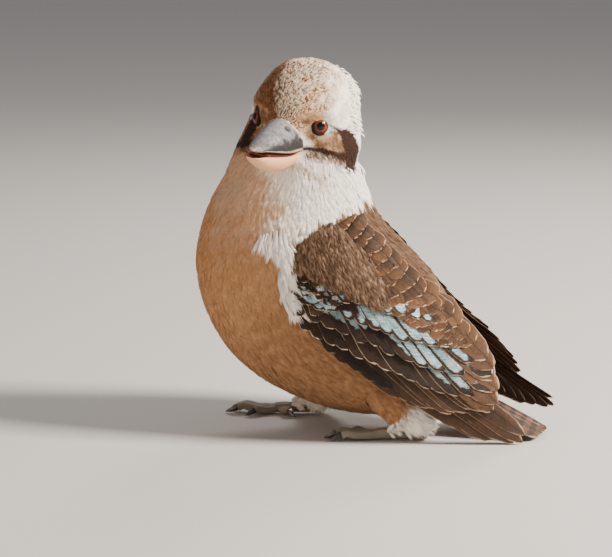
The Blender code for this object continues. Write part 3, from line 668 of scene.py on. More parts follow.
faceStrokes = [  # colour, strength, sides, then a stroke's (forward, outward, up, half width) places
    # painted shade in the crease between the cheek and the throat
    ("creaseShadeAndMottle", 0.60, 2, [
        (0.034, 0.0150, -0.0300, 0.0012), (0.0307, 0.0202, -0.0361, 0.0018),
        (0.0252, 0.0267, -0.0405, 0.0016), (0.0185, 0.0327, -0.0418, 0.0010),
    ]),
    ("breastPale", 0.80, 2, [
        (0.0310, 0.0165, -0.0060, 0.0030), (0.0285, 0.0200, -0.0110, 0.0036),
        (0.0240, 0.0260, -0.0135, 0.0050), (0.0170, 0.0320, -0.0150, 0.0064),
        (0.0120, 0.0350, -0.0180, 0.0050),
    ]),
    ("breastPale", 0.75, 2, [
        (0.0334, 0.0130, 0.0030, 0.0026), (0.0290, 0.0185, 0.0030, 0.0036),
        (0.0240, 0.0240, 0.0040, 0.0024),
    ]),
    ("rufous", 0.95, 2, [
        (0.0320, 0.0175, -0.0228, 0.0008), (0.0280, 0.0215, -0.0226, 0.0020),
        (0.0230, 0.0290, -0.0226, 0.0024), (0.0178, 0.0334, -0.0236, 0.0026),
        (0.0115, 0.0364, -0.0250, 0.0026),
    ]),
    ("rufous", 0.85, 2, [
        (0.0262, 0.0196, -0.0100, 0.0014), (0.0247, 0.0228, -0.0145, 0.0024),
        (0.0225, 0.0275, -0.0160, 0.0026), (0.0190, 0.0312, -0.0142, 0.0036),
        (0.0150, 0.0330, -0.0125, 0.0040),
    ]),
    ("rufous", 0.90, 2, [
        (0.0334, 0.0126, 0.0020, 0.0008), (0.0314, 0.0153, 0.0002, 0.0016),
        (0.0292, 0.0178, -0.0004, 0.0024), (0.0264, 0.0204, -0.0017, 0.0034),
    ]),
    ("rufous", 0.55, 2, [
        (0.0313, 0.0154, 0.0061, 0.0012), (0.0289, 0.0190, 0.0030, 0.0024),
        (0.0250, 0.0230, 0.0030, 0.0016),
    ]),
    ("rufous", 1.0, 2, [
        (0.0190, 0.0300, -0.0066, 0.0012), (0.0145, 0.0330, -0.0090, 0.0036),
        (0.0125, 0.0347, -0.0140, 0.0054), (0.0110, 0.0362, -0.0200, 0.0046),
        (0.0075, 0.0376, -0.0250, 0.0036),
    ]),
    # right side only: the lore's brown widened there as painted shade
    ("rufous", 0.90, 1, [
        (0.0310, 0.0160, 0.0010, 0.0034), (0.0270, 0.0190, -0.0080, 0.0044),
        (0.0280, 0.0230, -0.0170, 0.0044),
    ]),
    ("mask", 0.95, 2, [
        (0.0328, 0.0130, -0.0186, 0.0008), (0.0280, 0.0190, -0.0182, 0.0010),
        (0.0245, 0.0260, -0.0190, 0.0013), (0.0186, 0.0329, -0.0212, 0.0016),
        (0.0107, 0.0367, -0.0235, 0.0022),
    ]),
    ("mask", 0.8, 2, [
        (0.0200, 0.0285, -0.0020, 0.0006), (0.0155, 0.0320, -0.0045, 0.0012),
        (0.0100, 0.0356, -0.0085, 0.0030),
    ]),
    ("mask", 1.0, 2, [
        (0.0082, 0.0360, -0.0078, 0.0032), (0.0062, 0.0376, -0.0122, 0.0060),
        (0.0030, 0.0386, -0.0188, 0.0068), (-0.0008, 0.0392, -0.0255, 0.0056),
        (-0.0045, 0.0402, -0.0318, 0.0034), (-0.0078, 0.0409, -0.0375, 0.0012),
    ]),
    # right side only: the eye stripe widened and darkened there as painted shade
    ("mask", 0.95, 1, [
        (0.0255, 0.0225, 0.0020, 0.0034), (0.0225, 0.0262, -0.0050, 0.0046),
        (0.0222, 0.0280, -0.0110, 0.0050), (0.0230, 0.0310, -0.0170, 0.0046),
        (0.0240, 0.0330, -0.0225, 0.0030),
    ]),
]
strokeBlur = 0.0014
headSphere = 0.037  # strokes are measured on a sphere of this radius, so hollows don't matter


def strokeShare(local, stroke, sides):
    # how much places on the head lie on a stroke, on both sides or only the right one
    outward = np.abs(local[:, 1]) if sides == 2 else -local[:, 1]
    mirrored = np.column_stack([local[:, 0], outward, local[:, 2]])
    onSphere = unit(mirrored) * headSphere
    line = np.array(stroke)
    knots = unit(line[:, :3]) * headSphere
    near = np.full(len(local), 1.0)
    for a, b, start, end in zip(knots, knots[1:], line[:, 3], line[1:, 3]):
        t = np.clip(((onSphere - a) @ (b - a)) / ((b - a) @ (b - a)), 0, 1)
        gap = np.linalg.norm(onSphere - a - t[:, None] * (b - a), axis=1) - start - (end - start) * t
        near = np.minimum(near, gap)
    return 1 - fade(-strokeBlur, strokeBlur, near)


def plumage(points, level, angle, arc):
    # colour and dark shaft share of the feathers that grow from these places
    c, marks, streaks = plumageColours, markings, markings["streaks"]
    local = toHead(points)
    forward, left, up = local.T
    side = np.abs(left)
    back = -np.cos(angle)  # 1 along the back, -1 along the belly
    leftward = np.sin(angle)
    rough, fine, grit = ripple(points, 0.014, 1), ripple(points, 0.005, 2), ripple(points, 0.0026, 3)
    paler = 0.26 + 0.11 * rough + 0.05 * fine + 0.22 * fade(0.0, 0.9, leftward) * fade(2, 7, level)
    colour = tint(plain(c["breast"], len(points)), c["breastPale"], paler)
    # painted shade: darker towards the belly and vent
    colour = tint(colour, c["bellyShade"], marks["bellyShade"] * (1 - fade(3.5, 7.5, level + 0.5 * rough)))
    bars = np.sin(fullTurn * arc / marks["barStep"] + 1.8 * rough + 0.9 * fine)
    barred = fade(0.05, 0.6, np.abs(leftward)) * (1 - fade(4.5, 6.5, level)) * (1 - fade(0.1, 0.6, back))
    colour = tint(colour, c["bar"], marks["barShare"] * barred * fade(0.1, 0.9, bars + 0.4 * fine))
    # the white throat and ruff; the throat's front keeps the breast's tan as painted shade, and only its
    # sunlit side is white
    raised = level + 0.4 * rough + 1.2 * fade(0.3, 1.0, leftward) + 0.8 * fade(-0.2, 0.4, back)
    white = fade(*marks["throat"], raised)
    degrees = np.degrees(angle) % 360
    paintedShadeEdge = 87 - 16 * np.maximum(level - 9.9, 0)
    sunny = fade(-16, 5, degrees - paintedShadeEdge + 3 * fine) * (degrees < 200)
    sunny = np.maximum(sunny, fade(30, 65, 360 - degrees) * (degrees > 180))
    colour = tint(colour, c["white"], white * (0.16 + 0.84 * sunny))
    # painted shade: a tan band under the throat's overhang
    paintedShadeBand = fade(9.7, 9.2, level) * fade(8.45, 8.75, level) * fade(60, 70, degrees) * fade(104, 92, degrees)
    colour = tint(colour, c["breastPale"], 0.75 * paintedShadeBand)
    # the brown back below the ruff
    edge = marks["backEdge"] + 0.22 * rough + 0.20 * fine
    brown = fade(0.05, 0.26, back + 0.05 * rough) * (1 - fade(-0.16, 0.16, level - edge))
    mantle = tint(plain(c["mantle"], len(points)), c["mantlePale"], 0.35 + 0.30 * rough + 0.25 * fine)
    mantle = tint(mantle, c["rump"], 0.8 * (1 - fade(1.5, 3.5, level)))
    ruff = fade(-0.16, 0.16, level - edge) * fade(0.0, 0.3, back) * (1 - fade(9.0, 10.0, level))
    colour = tint(colour, c["white"], ruff)
    colour = tint(colour, mantle, brown)
    # the head: white sides, a streaked cap widest over the eyes, and the dark strokes
    onHead = fade(jawLevel + 0.5, jawLevel + 2.5, level)
    # painted shade: the head's right side stays mostly tan
    colour = tint(colour, c["white"], onHead * (0.30 + 0.70 * fade(-0.3, 0.5, left / 0.03)))
    capEdge = 0.0230 + 0.26 * forward + 0.0032 * rough + 0.0022 * fine - 0.16 * np.maximum(up - 0.015, 0)
    cap = fade(-0.003, 0.006, up + 0.30 * forward) * (1 - fade(-0.008, 0.008, side - capEdge)) * onHead
    # painted shade over the cap's right part: a dark rufous, with stronger dark marks
    shaded = fade(-0.0025, 0.0045, -left - 0.42 * np.minimum(up, 0.022) + 0.0012 * fine)
    warm = fade(0.004, 0.020, left + 0.002 * rough) * fade(0.036, 0.020, up) * 0.9 + 0.22 * rough
    wave = np.sin(fullTurn * arc / marks["dashStep"] + 3.0 * rough + 1.5 * fine)
    dashes = fade(-0.1, 0.5, wave + 0.35 * grit - 0.1)
    capColour = tint(plain(c["crownPale"], len(points)), c["crown"], np.clip(warm, 0, 1))
    capColour = tint(capColour, c["rufous"], np.clip(0.04 + 0.20 * fine + 0.20 * grit, 0, 0.6))
    capColour = tint(capColour, c["crownShade"], np.clip(0.90 * shaded, 0, 1))
    capColour = tint(capColour, c["dash"], np.clip((0.88 + 0.15 * rough) * dashes, 0, 1))
    colour = tint(colour, capColour, cap)
    # grey mottling at random over the head's white, in the crease shade's colour
    greyish = onHead * (1 - cap) * np.clip(0.14 + 0.20 * rough + 0.14 * fine, 0, 0.5)
    colour = tint(colour, c["creaseShadeAndMottle"], greyish)
    onFace = fade(jawLevel - 1.6, jawLevel - 0.6, level)
    mask = np.zeros(len(points))
    for shade, strength, sides, stroke in faceStrokes:
        share = strength * strokeShare(local, stroke, sides) * onFace
        share = np.clip(share * (0.86 + 0.34 * grit + 0.2 * fine) if shade == "rufous" else share, 0, 1)
        share = np.clip(1.3 * share, 0, 1) if shade == "mask" else share
        colour = tint(colour, c[shade], share)
        mask = np.maximum(mask, share)
    streak = cap * (streaks["cap"] + streaks["shaded"] * shaded) + streaks["back"] * brown
    streak = np.clip(streak, 0, 1) * (1 - 0.9 * mask)
    return np.column_stack([colour, streak])


# Coat: tufts of barbs rooted on the skin

tuftForm = {
    "rows": (0.0, 0.30, 0.58),
    "spread": (0.45, 0.95, 1.0),
    "columns": 6,
    "ragged": 0.34,
    "streaked": 0.50,  # share of the tufts that carry their dark mark
    "patch": 0.003,  # size of a tuft on the unwrap
    "perPiece": 7600,
    "floorGap": 0.0003,
}


def growTufts(root, normal, lie, length, width, rise, curl, turnBy):
    # arrays of points, faces, soft normals and (length, side, tone) for many tufts
    count = len(root)
    yaw = chance.normal(0, turnBy, count)
    ahead = unit(swing(yaw, lie, np.cross(normal, lie)))
    across = np.cross(normal, ahead)
    sides = np.linspace(-1, 1, tuftForm["columns"])
    fingers = (sides[1:] + sides[:-1]) / 2
    tone = chance.uniform(0, 1, count)
    lifts = rise * chance.uniform(0.6, 1.25, count)
    facing = normal + chance.normal(0, 0.070, (count, 3))
    rows, strands, soft = [], [], []

    def place(t, c, spread, wide):
        # points at shares t of the length and c of the half width
        t, c = np.broadcast_to(t, (count, wide)), np.broadcast_to(c, (count, wide))
        drop = lifts[:, None] * (1 - (1 - t) ** 2) + curl[:, None] * t**2 - width[:, None] * 0.16 * c**2
        where = root[:, None] + ahead[:, None] * (length[:, None] * t)[..., None]
        where = where + across[:, None] * (width[:, None] / 2 * c * spread)[..., None]
        rows.append(where + normal[:, None] * drop[..., None])
        strands.append(np.stack([t, c, np.broadcast_to(tone[:, None], t.shape)], axis=-1))
        rounded = facing[:, None] + across[:, None] * (0.38 * c)[..., None]
        soft.append(rounded + ahead[:, None] * (0.5 * t - 0.3)[..., None])

    for t, spread in zip(tuftForm["rows"], tuftForm["spread"]):
        place(np.full(len(sides), t), sides, spread, len(sides))
    ends = 1 - 0.10 * fingers**2 - tuftForm["ragged"] * chance.uniform(0, 1, (count, len(fingers))) ** 2
    place(ends, fingers * 1.04 + chance.normal(0, 0.05, (count, len(fingers))), 1.0, len(fingers))
    points = np.concatenate(rows, axis=1)
    wide, last, faces = len(sides), len(tuftForm["rows"]) - 1, []
    for row in range(last):
        a = row * wide + np.arange(wide - 1)
        faces += [np.stack([a + 1, a, a + wide], 1), np.stack([a + 1, a + wide, a + 1 + wide], 1)]
    a = last * wide + np.arange(wide - 1)
    faces.append(np.stack([a + 1, a, a + wide], 1))
    return points, np.concatenate(faces), np.concatenate(soft, axis=1), np.concatenate(strands, axis=1)


def addCoat(
    name, root, normal, lie, length, width, rise, colours, unwrap, finish, turnBy, curl=None
):
    # tufts as pieces of even size; curl is how far a tip bends off its root's plane
    curl = np.zeros(len(root)) if curl is None else curl
    pieces = math.ceil(len(root) / tuftForm["perPiece"])
    for k, picked in enumerate(np.array_split(np.arange(len(root)), pieces)):
        chosen = (values[picked] for values in (root, normal, lie, length, width, rise, curl))
        points, faces, soft, strands = growTufts(*chosen, turnBy)
        count, each = points.shape[:2]
        points[..., 2] = np.maximum(points[..., 2], tuftForm["floorGap"])
        allFaces = (np.arange(count)[:, None, None] * each + faces[None]).reshape(-1, 3)
        patch = np.stack([strands[..., 1] * 0.5, strands[..., 0] - 0.5], axis=-1) * tuftForm["patch"]
        uv = unwrap[picked][:, None] + patch
        marked = colours[picked].copy()
        marked[:, 3] *= chance.uniform(0, 1, count) < tuftForm["streaked"]
        fields = {"plumage": np.repeat(marked, each, axis=0), "strand": strands.reshape(-1, 3)}
        title = name if pieces == 1 else f"{name}{k + 1}"
        addPiece(
            title, points, allFaces, finish,
            fields=fields, uv=uv.reshape(-1, 2), normals=soft.reshape(-1, 3),
        )


def addTufts(name, form, size, root, normal, lie, colours, unwrap, finish):
    # tufts of one form, each with its own size
    length, width, rise = (form[key] * size for key in ("length", "width", "rise"))
    addCoat(name, root, normal, lie, length, width, rise, colours, unwrap, finish, form["turn"])


def scatter(grid, spacing, keep):
    # even random places over a grid of points: rows and columns of the picks
    across = np.linalg.norm(np.diff(grid, axis=1), axis=2)
    tall = np.linalg.norm(np.diff(grid, axis=0), axis=2)
    area = (across[:-1] + across[1:]) / 2 * (tall[:, :-1] + tall[:, 1:]) / 2
    weight = np.cumsum((area * keep / spacing**2).ravel())
    count = int(weight[-1])
    marks = (np.arange(count) + chance.uniform(0, 1, count)) * weight[-1] / count
    cell = np.clip(np.searchsorted(weight, marks), 0, area.size - 1)
    row, column = np.divmod(cell, area.shape[1])
    return row + chance.uniform(0, 1, count), column + chance.uniform(0, 1, count)


bodyCoat = {"depth": 0.0028, "length": 0.0120, "width": 0.0030, "shown": 0.85}
neckCoat = {"depth": 0.0023, "length": 0.0115, "width": 0.0022}
headCoat = {"depth": 0.0016, "length": 0.0046, "width": 0.0015}
faceCoat = {"depth": 0.0005, "length": 0.0023, "width": 0.0009}
coatForm = {
    "density": 0.310, "headThinner": 0.035, "leastSpacing": 0.00055, "rise": 0.80, "turn": 0.11,
    "nape": {"depth": 0.15, "length": 0.35},  # how much more the head's rear tufts stand out
    # no tufts grow under a wing, at an eye or within the bill
    "underWing": {"reach": (0.014, 0.125), "low": 0.002, "belowTop": 0.020, "out": 0.02},
    "eyeRim": 0.0006,
    "bill": [(0.024, 0.0140, -0.0200, -0.0010), (0.029, 0.0118, -0.0285, -0.0200)],
}


def coatShape(points, level):
    # the coat's depth, and its tufts' length and width, at places on the skin
    local = toHead(points.reshape(-1, 3))
    toBill = np.linalg.norm((local - np.array([0.034, 0.0, -0.014])) * np.array([1, 0.8, 0.8]), axis=1)
    full = fade(0.003, 0.016, np.minimum(fromEye(local) - 0.003, toBill - 0.010)).reshape(level.shape)
    onHead = fade(jawLevel, jawLevel + 2.5, level)
    onNeck = fade(8.5, 10.5, level)
    shapes = []
    for key in ("depth", "length", "width"):
        face = faceCoat[key]
        value = bodyCoat[key] * (1 - onNeck) + neckCoat[key] * onNeck
        value = value * (1 - onHead) + headCoat[key] * onHead
        shapes.append(np.where(onHead > 0, face + (value - face) * (1 - (1 - full) * onHead), value))
    return shapes


levelGrid, angleGrid = np.meshgrid(skinLevels, skinAngles, indexing="ij")
depthGrid, lengthGrid, widthGrid = coatShape(skinGrid, levelGrid)
innerGrid = skinGrid - skinNormals * depthGrid[..., None]


def skinPiece():
    # the skin under the coat, closed at both ends
    grids = (levelGrid, angleGrid, skinArc)
    level, angle, arc = (grid[:, :-1].ravel() for grid in grids)
    colours = plumage(skinGrid[:, :-1].reshape(-1, 3), level, angle, arc)
    faces = closedTube(skinMesh["levels"], skinMesh["around"])
    addPiece(
        "skin", innerGrid[:, :-1], faces, skinFinish(), ("torso", "neck", "head"),
        {"plumage": colours}, onUnwrap(angle, level),
    )


def coatKeep(cells):
    # 1 where tufts grow on the skin, 0 where they don't
    keep = np.ones(len(cells))
    bare = coatForm["underWing"]
    first, last = bare["reach"]
    for name in ("left", "right"):
        reach, height = onWing(name, cells)
        top = along(wingForm["top"], reach) - bare["belowTop"]
        under = (reach > first) & (reach < last) & (height > bare["low"]) & (height < top)
        keep[under & (cells[:, 0] * wingForm[name]["side"] > bare["out"])] = 0.0
    local = toHead(cells)
    keep[fromEye(local) < eyeForm["lidRadius"] + coatForm["eyeRim"]] = 0.0
    forward, left, up = local.T
    for front, side, low, high in coatForm["bill"]:
        keep[(forward > front) & (np.abs(left) < side) & (up > low) & (up <= high)] = 0.0
    return keep


def shownPlaces(row, column, step):
    # rows and columns of the skin's grid that lie a step beyond the roots
    goesUp, goesRound = (readGrid(g, row, column) for g in np.gradient(skinGrid, axis=(0, 1)))
    showRow = row + (step * goesUp).sum(axis=1) / np.maximum((goesUp**2).sum(axis=1), 1e-9)
    showColumn = column + (step * goesRound).sum(axis=1) / np.maximum((goesRound**2).sum(axis=1), 2.5e-7)
    return np.clip(showRow, 0, skinMesh["levels"] - 1.001), showColumn % skinMesh["around"]


def bodyCoatPieces(finish):
    form = coatForm
    cellLevel = cellMiddles(levelGrid)
    factor = form["density"] - form["headThinner"] * fade(jawLevel, jawLevel + 2, cellLevel)
    spacing = factor * np.sqrt(cellMiddles(lengthGrid) * cellMiddles(widthGrid))
    keep = coatKeep(cellMiddles(skinGrid).reshape(-1, 3)).reshape(cellLevel.shape)
    keep = keep * (cellLevel < crownLevel - 0.05)
    row, column = scatter(skinGrid, np.maximum(spacing, form["leastSpacing"]), keep)
    order = np.argsort(row)
    row, column = row[order], column[order]
    root, surface, normal, lie = (
        readGrid(g, row, column) for g in (innerGrid, skinGrid, skinNormals, skinLie)
    )
    level, angle, length, width, depth = (
        readGrid(g, row, column) for g in (levelGrid, angleGrid, lengthGrid, widthGrid, depthGrid)
    )
    length = length * chance.uniform(0.85, 1.2, len(length))
    # a tuft has the colour of the place where it shows, and its tip bends to follow the skin there
    shownAt = shownPlaces(row, column, lie * (length * bodyCoat["shown"])[:, None])
    shown = [readGrid(g, *shownAt) for g in (skinGrid, levelGrid, angleGrid, skinArc)]
    bend = ((shown[0] - surface) * normal).sum(axis=1) / bodyCoat["shown"] ** 2
    curl = np.clip(bend, -0.45 * length, 0.25 * length)
    fluffy = fade(0.010, 0.030, -toHead(shown[0])[:, 0]) * fade(jawLevel + 1, jawLevel + 3, level)
    rise = depth * (1 + form["nape"]["depth"] * fluffy) * form["rise"]
    length = length * (1 + form["nape"]["length"] * fluffy)
    print("body coat tufts:", len(row))
    addCoat(
        "coat", root, unit(normal), unit(lie), length, width, rise, plumage(*shown),
        onUnwrap(angle, level), finish, form["turn"], curl,
    )


# Extra tufts: the ragged crown, white plumes before the wing, down over the shoulder and the bill's base

plumeForm = {
    "crest": {
        "spacing": 0.0024, "length": 0.0080, "width": 0.0013, "rise": 0.0023, "turn": 0.30, "sunk": 0.0006,
    },
    "breast": {
        "spacing": 0.0014, "length": 0.0135, "width": 0.0020, "rise": 0.0030, "turn": 0.22, "sunk": 0.0006,
    },
    # the white plumes' band: level, middle and half width in degrees round the body
    "band": [
        (5.7, 88, 1), (6.0, 86, 4), (6.5, 90, 4), (7.0, 94, 3.5), (7.5, 97, 3), (7.9, 95, 5),
        (8.3, 90, 8), (8.45, 89, 8),
    ],
}
shoulderForm = {
    "spacing": 0.00105, "length": 0.0090, "width": 0.0014, "rise": 0.0009, "turn": 0.16,
    "lift": 0.0024, "heading": -30.0, "heights": (0.010, 0.054), "mesh": (60, 50), "streak": 0.3,
    "low": [
        (-0.014, 0.012), (0.0, 0.017), (0.010, 0.019), (0.032, 0.024), (0.048, 0.028), (0.058, 0.031),
    ],
    "high": [
        (-0.014, 0.044), (0.0, 0.050), (0.018, 0.050), (0.037, 0.045), (0.050, 0.038), (0.058, 0.032),
    ],
    "dark": (0.092, 0.050, 0.028), "pale": (0.36, 0.23, 0.145),
}
billBaseForm = {
    "spacing": 0.00075, "length": 0.0026, "width": 0.0010, "rise": 0.0007, "turn": 0.30,
    "reach": (0.0215, 0.0392),
    # how far forward the tufts go, by the angle up or down from the cutting edge
    "upper": [
        (0, 0.0235), (12, 0.0275), (23, 0.0322), (41, 0.0354), (52, 0.0372), (70, 0.0384), (90, 0.0366),
    ],
    "lower": [(0, 0.0300), (12, 0.0312), (23, 0.0325), (52, 0.0320), (70, 0.0350), (90, 0.0345)],
    "pale": (0.72, 0.53, 0.37), "brown": (0.30, 0.16, 0.085), "chin": (0.70, 0.56, 0.42),
}


def growPlumes(name, form, keep, paint, finish):
    # tufts that stand out of the coat, where keep is 1 on the skin's cells
    row, column = scatter(skinGrid, form["spacing"], keep)
    root, normal, lie, level, angle, arc = [
        readGrid(g, row, column) for g in (skinGrid, skinNormals, skinLie, levelGrid, angleGrid, skinArc)
    ]
    size = chance.uniform(0.7, 1.2, len(row))
    normal, lie = unit(normal), unit(lie)
    colours = paint(root + lie * form["length"] * bodyCoat["shown"], level, angle, arc)
    root, unwrap = root - normal * form["sunk"], onUnwrap(angle, level)
    addTufts(name, form, size, root, normal, lie, colours, unwrap, finish)


def whitish(points, level, angle, arc):
    shades = plain([*plumageColours["white"], 0.0], len(points))
    shades[:, :3] *= chance.uniform(0.80, 1.05, len(points))[:, None]
    return shades


def plumePieces(finish):
    cellLevel, cellAngle = cellMiddles(levelGrid), np.degrees(cellMiddles(angleGrid))
    local = toHead(cellMiddles(skinGrid).reshape(-1, 3))
    behind = local[:, 0] - 0.9 * (np.abs(local[:, 1]) - 0.020)
    crest = fade(-0.004, -0.016, behind) * fade(-0.010, 0.0, local[:, 2])
    crest = crest.reshape(cellLevel.shape) * (cellLevel > jawLevel + 2) * (cellLevel < crownLevel - 0.4)
    growPlumes("crestTufts", plumeForm["crest"], crest, plumage, finish)
    levels, middles, halves = np.array(plumeForm["band"], float).T
    middle, half = np.interp(cellLevel, levels, middles), np.interp(cellLevel, levels, halves)
    inBand = (np.abs(cellAngle - middle) < half) & (cellLevel > levels[0]) & (cellLevel < levels[-1])
    growPlumes("breastPlumes", plumeForm["breast"], inBand.astype(float), whitish, finish)


skinTree = KDTree(levelGrid.size)
for place, point in enumerate(skinGrid.reshape(-1, 3)):
    skinTree.insert(point, place)
skinTree.balance()


def unwrapNear(points):
    # where points that grow near the skin belong on its unwrap
    found = np.array([skinTree.find(Vector(p))[1] for p in points])
    return onUnwrap(angleGrid.ravel()[found], levelGrid.ravel()[found])


def shoulderPieces(finish):
    form = shoulderForm
    heading = math.radians(form["heading"])
    ends = form["low"][0][0], form["low"][-1][0]
    for name in ("left", "right"):
        reaches, heights = np.linspace(*ends, form["mesh"][0]), np.linspace(*form["heights"], form["mesh"][1])
        reach, height = np.meshgrid(reaches, heights, indexing="ij")
        here, normal, ahead, above = wingFrame(name, reach, height)
        edge = 0.0016 * ripple(here.reshape(-1, 3), 0.006, 5).reshape(reach.shape)
        inside = (height > along(form["low"], reach) + edge) & (height < along(form["high"], reach) + edge)
        row, column = scatter(here, form["spacing"], inside[:-1, :-1].astype(float))
        root, normal, ahead, above = (readGrid(g, row, column) for g in (here, normal, ahead, above))
        normal = unit(normal)
        lie = flatOn(normal, ahead * math.cos(heading) + above * math.sin(heading))
        size = chance.uniform(0.7, 1.15, len(row))
        pale = chance.uniform(0, 1, len(row)) ** 2.2
        shades = tint(plain(form["dark"], len(row)), form["pale"], pale)
        addTufts(
            f"shoulderDown_{name}", form, size, root + normal * form["lift"], normal, lie,
            np.column_stack([shades, np.full(len(row), form["streak"])]), unwrapNear(root), finish,
        )


def billBasePieces(finish):
    # fine tufts that end the face's feathering on the bill
    form = billBaseForm
    picked = []
    places = np.linspace(*form["reach"], 60)
    turns = billForm["around"] - billForm["floor"]
    angles = np.degrees(np.linspace(0, math.pi, turns))
    edges = along(billForm["tomium"], places)
    gape = edges - along(billForm["opening"], places)
    for name, edge, crest in (("upper", edges, "culmen"), ("lower", gape, "gonys")):
        crest, width = along(billForm[crest], places), along(billForm[f"{name}Width"], places)
        grid = mandible(places, edge, crest, width, 0.3)[0][:, :turns]
        ahead, across = np.gradient(grid, axis=(0, 1))
        normal = unit(np.cross(ahead, across))
        middle = headPlace(places, np.zeros_like(places), (edge + crest) / 2)[:, None]
        normal *= np.sign(((grid - middle) * normal).sum(axis=-1, keepdims=True))
        limit = along(form[name], 90 - np.abs(angles - 90))
        ragged = 0.0005 * ripple(grid.reshape(-1, 3), 0.0018, 6).reshape(grid.shape[:2])
        keep = (places[:, None] < limit[None] + ragged)[:-1, :-1].astype(float)
        row, column = scatter(grid, form["spacing"], keep)
        root = readGrid(grid, row, column)
        browned = np.clip(0.12 + 0.40 * ripple(root, 0.0032, 7), 0, 1)
        shade = tint(plain(form["pale"], len(row)), form["brown"], browned)
        if name == "lower":
            shade = tint(shade, form["chin"], 0.7)
        picked.append((root, unit(readGrid(normal, row, column)), unit(-readGrid(ahead, row, column)), shade))
    root, normal, lie, shade = (np.concatenate(rows) for rows in zip(*picked))
    size = chance.uniform(0.75, 1.2, len(root))
    addTufts(
        "billBaseTufts", form, size, root - normal * 0.0001, normal, lie,
        np.column_stack([shade, np.zeros(len(root))]), unwrapNear(root), finish,
    )


# Wing and tail feathers: blades laid in tiers over a surface

bladeForm = {
    "rows": np.array([0, 0.10, 0.22, 0.36, 0.50, 0.63, 0.74, 0.83, 0.90, 0.95, 0.985, 1.0]),
    "outline": [
        (0, 0.30), (0.10, 0.62), (0.30, 0.92), (0.65, 1.0), (0.85, 0.96), (0.94, 0.78), (0.985, 0.46),
        (1.0, 0.18),
    ],
    "columns": np.array([-1, -0.9, -0.68, -0.35, -0.06, 0.06, 0.35, 0.68, 0.9, 1]),
    "edge": 0.00012,
    "shaft": 0.00030,
    "tilt": 0.18,
    "ragged": 0.00035,
    "floorGap": 0.0002,
}
blueBands = [  # strength, then (reach, height, half width) places of a band of pale blue on the wing
    (1.0, [
        (0.052, 0.024, 0.0060), (0.072, 0.029, 0.0110), (0.098, 0.026, 0.0130), (0.120, 0.022, 0.0100),
        (0.130, 0.021, 0.0065),
    ]),
    (0.85, [
        (0.010, 0.007, 0.0026), (0.022, 0.007, 0.0030), (0.036, 0.009, 0.0030), (0.052, 0.013, 0.0040),
    ]),
    (0.80, [(0.020, 0.016, 0.0020), (0.034, 0.019, 0.0022)]),
]


def blueShare(place):
    # how blue the wing is at places along and up it
    share = np.zeros(place.shape[:-1])
    for strength, line in blueBands:
        line = np.array(line)
        for a, b in zip(line, line[1:]):
            way = b[:2] - a[:2]
            t = np.clip(((place - a[:2]) @ way) / (way @ way), 0, 1)
            gap = np.linalg.norm(place - a[:2] - t[..., None] * way, axis=-1) - a[2] - (b[2] - a[2]) * t
            share = np.maximum(share, strength * (1 - fade(-0.0022, 0.0022, gap)))
    return share


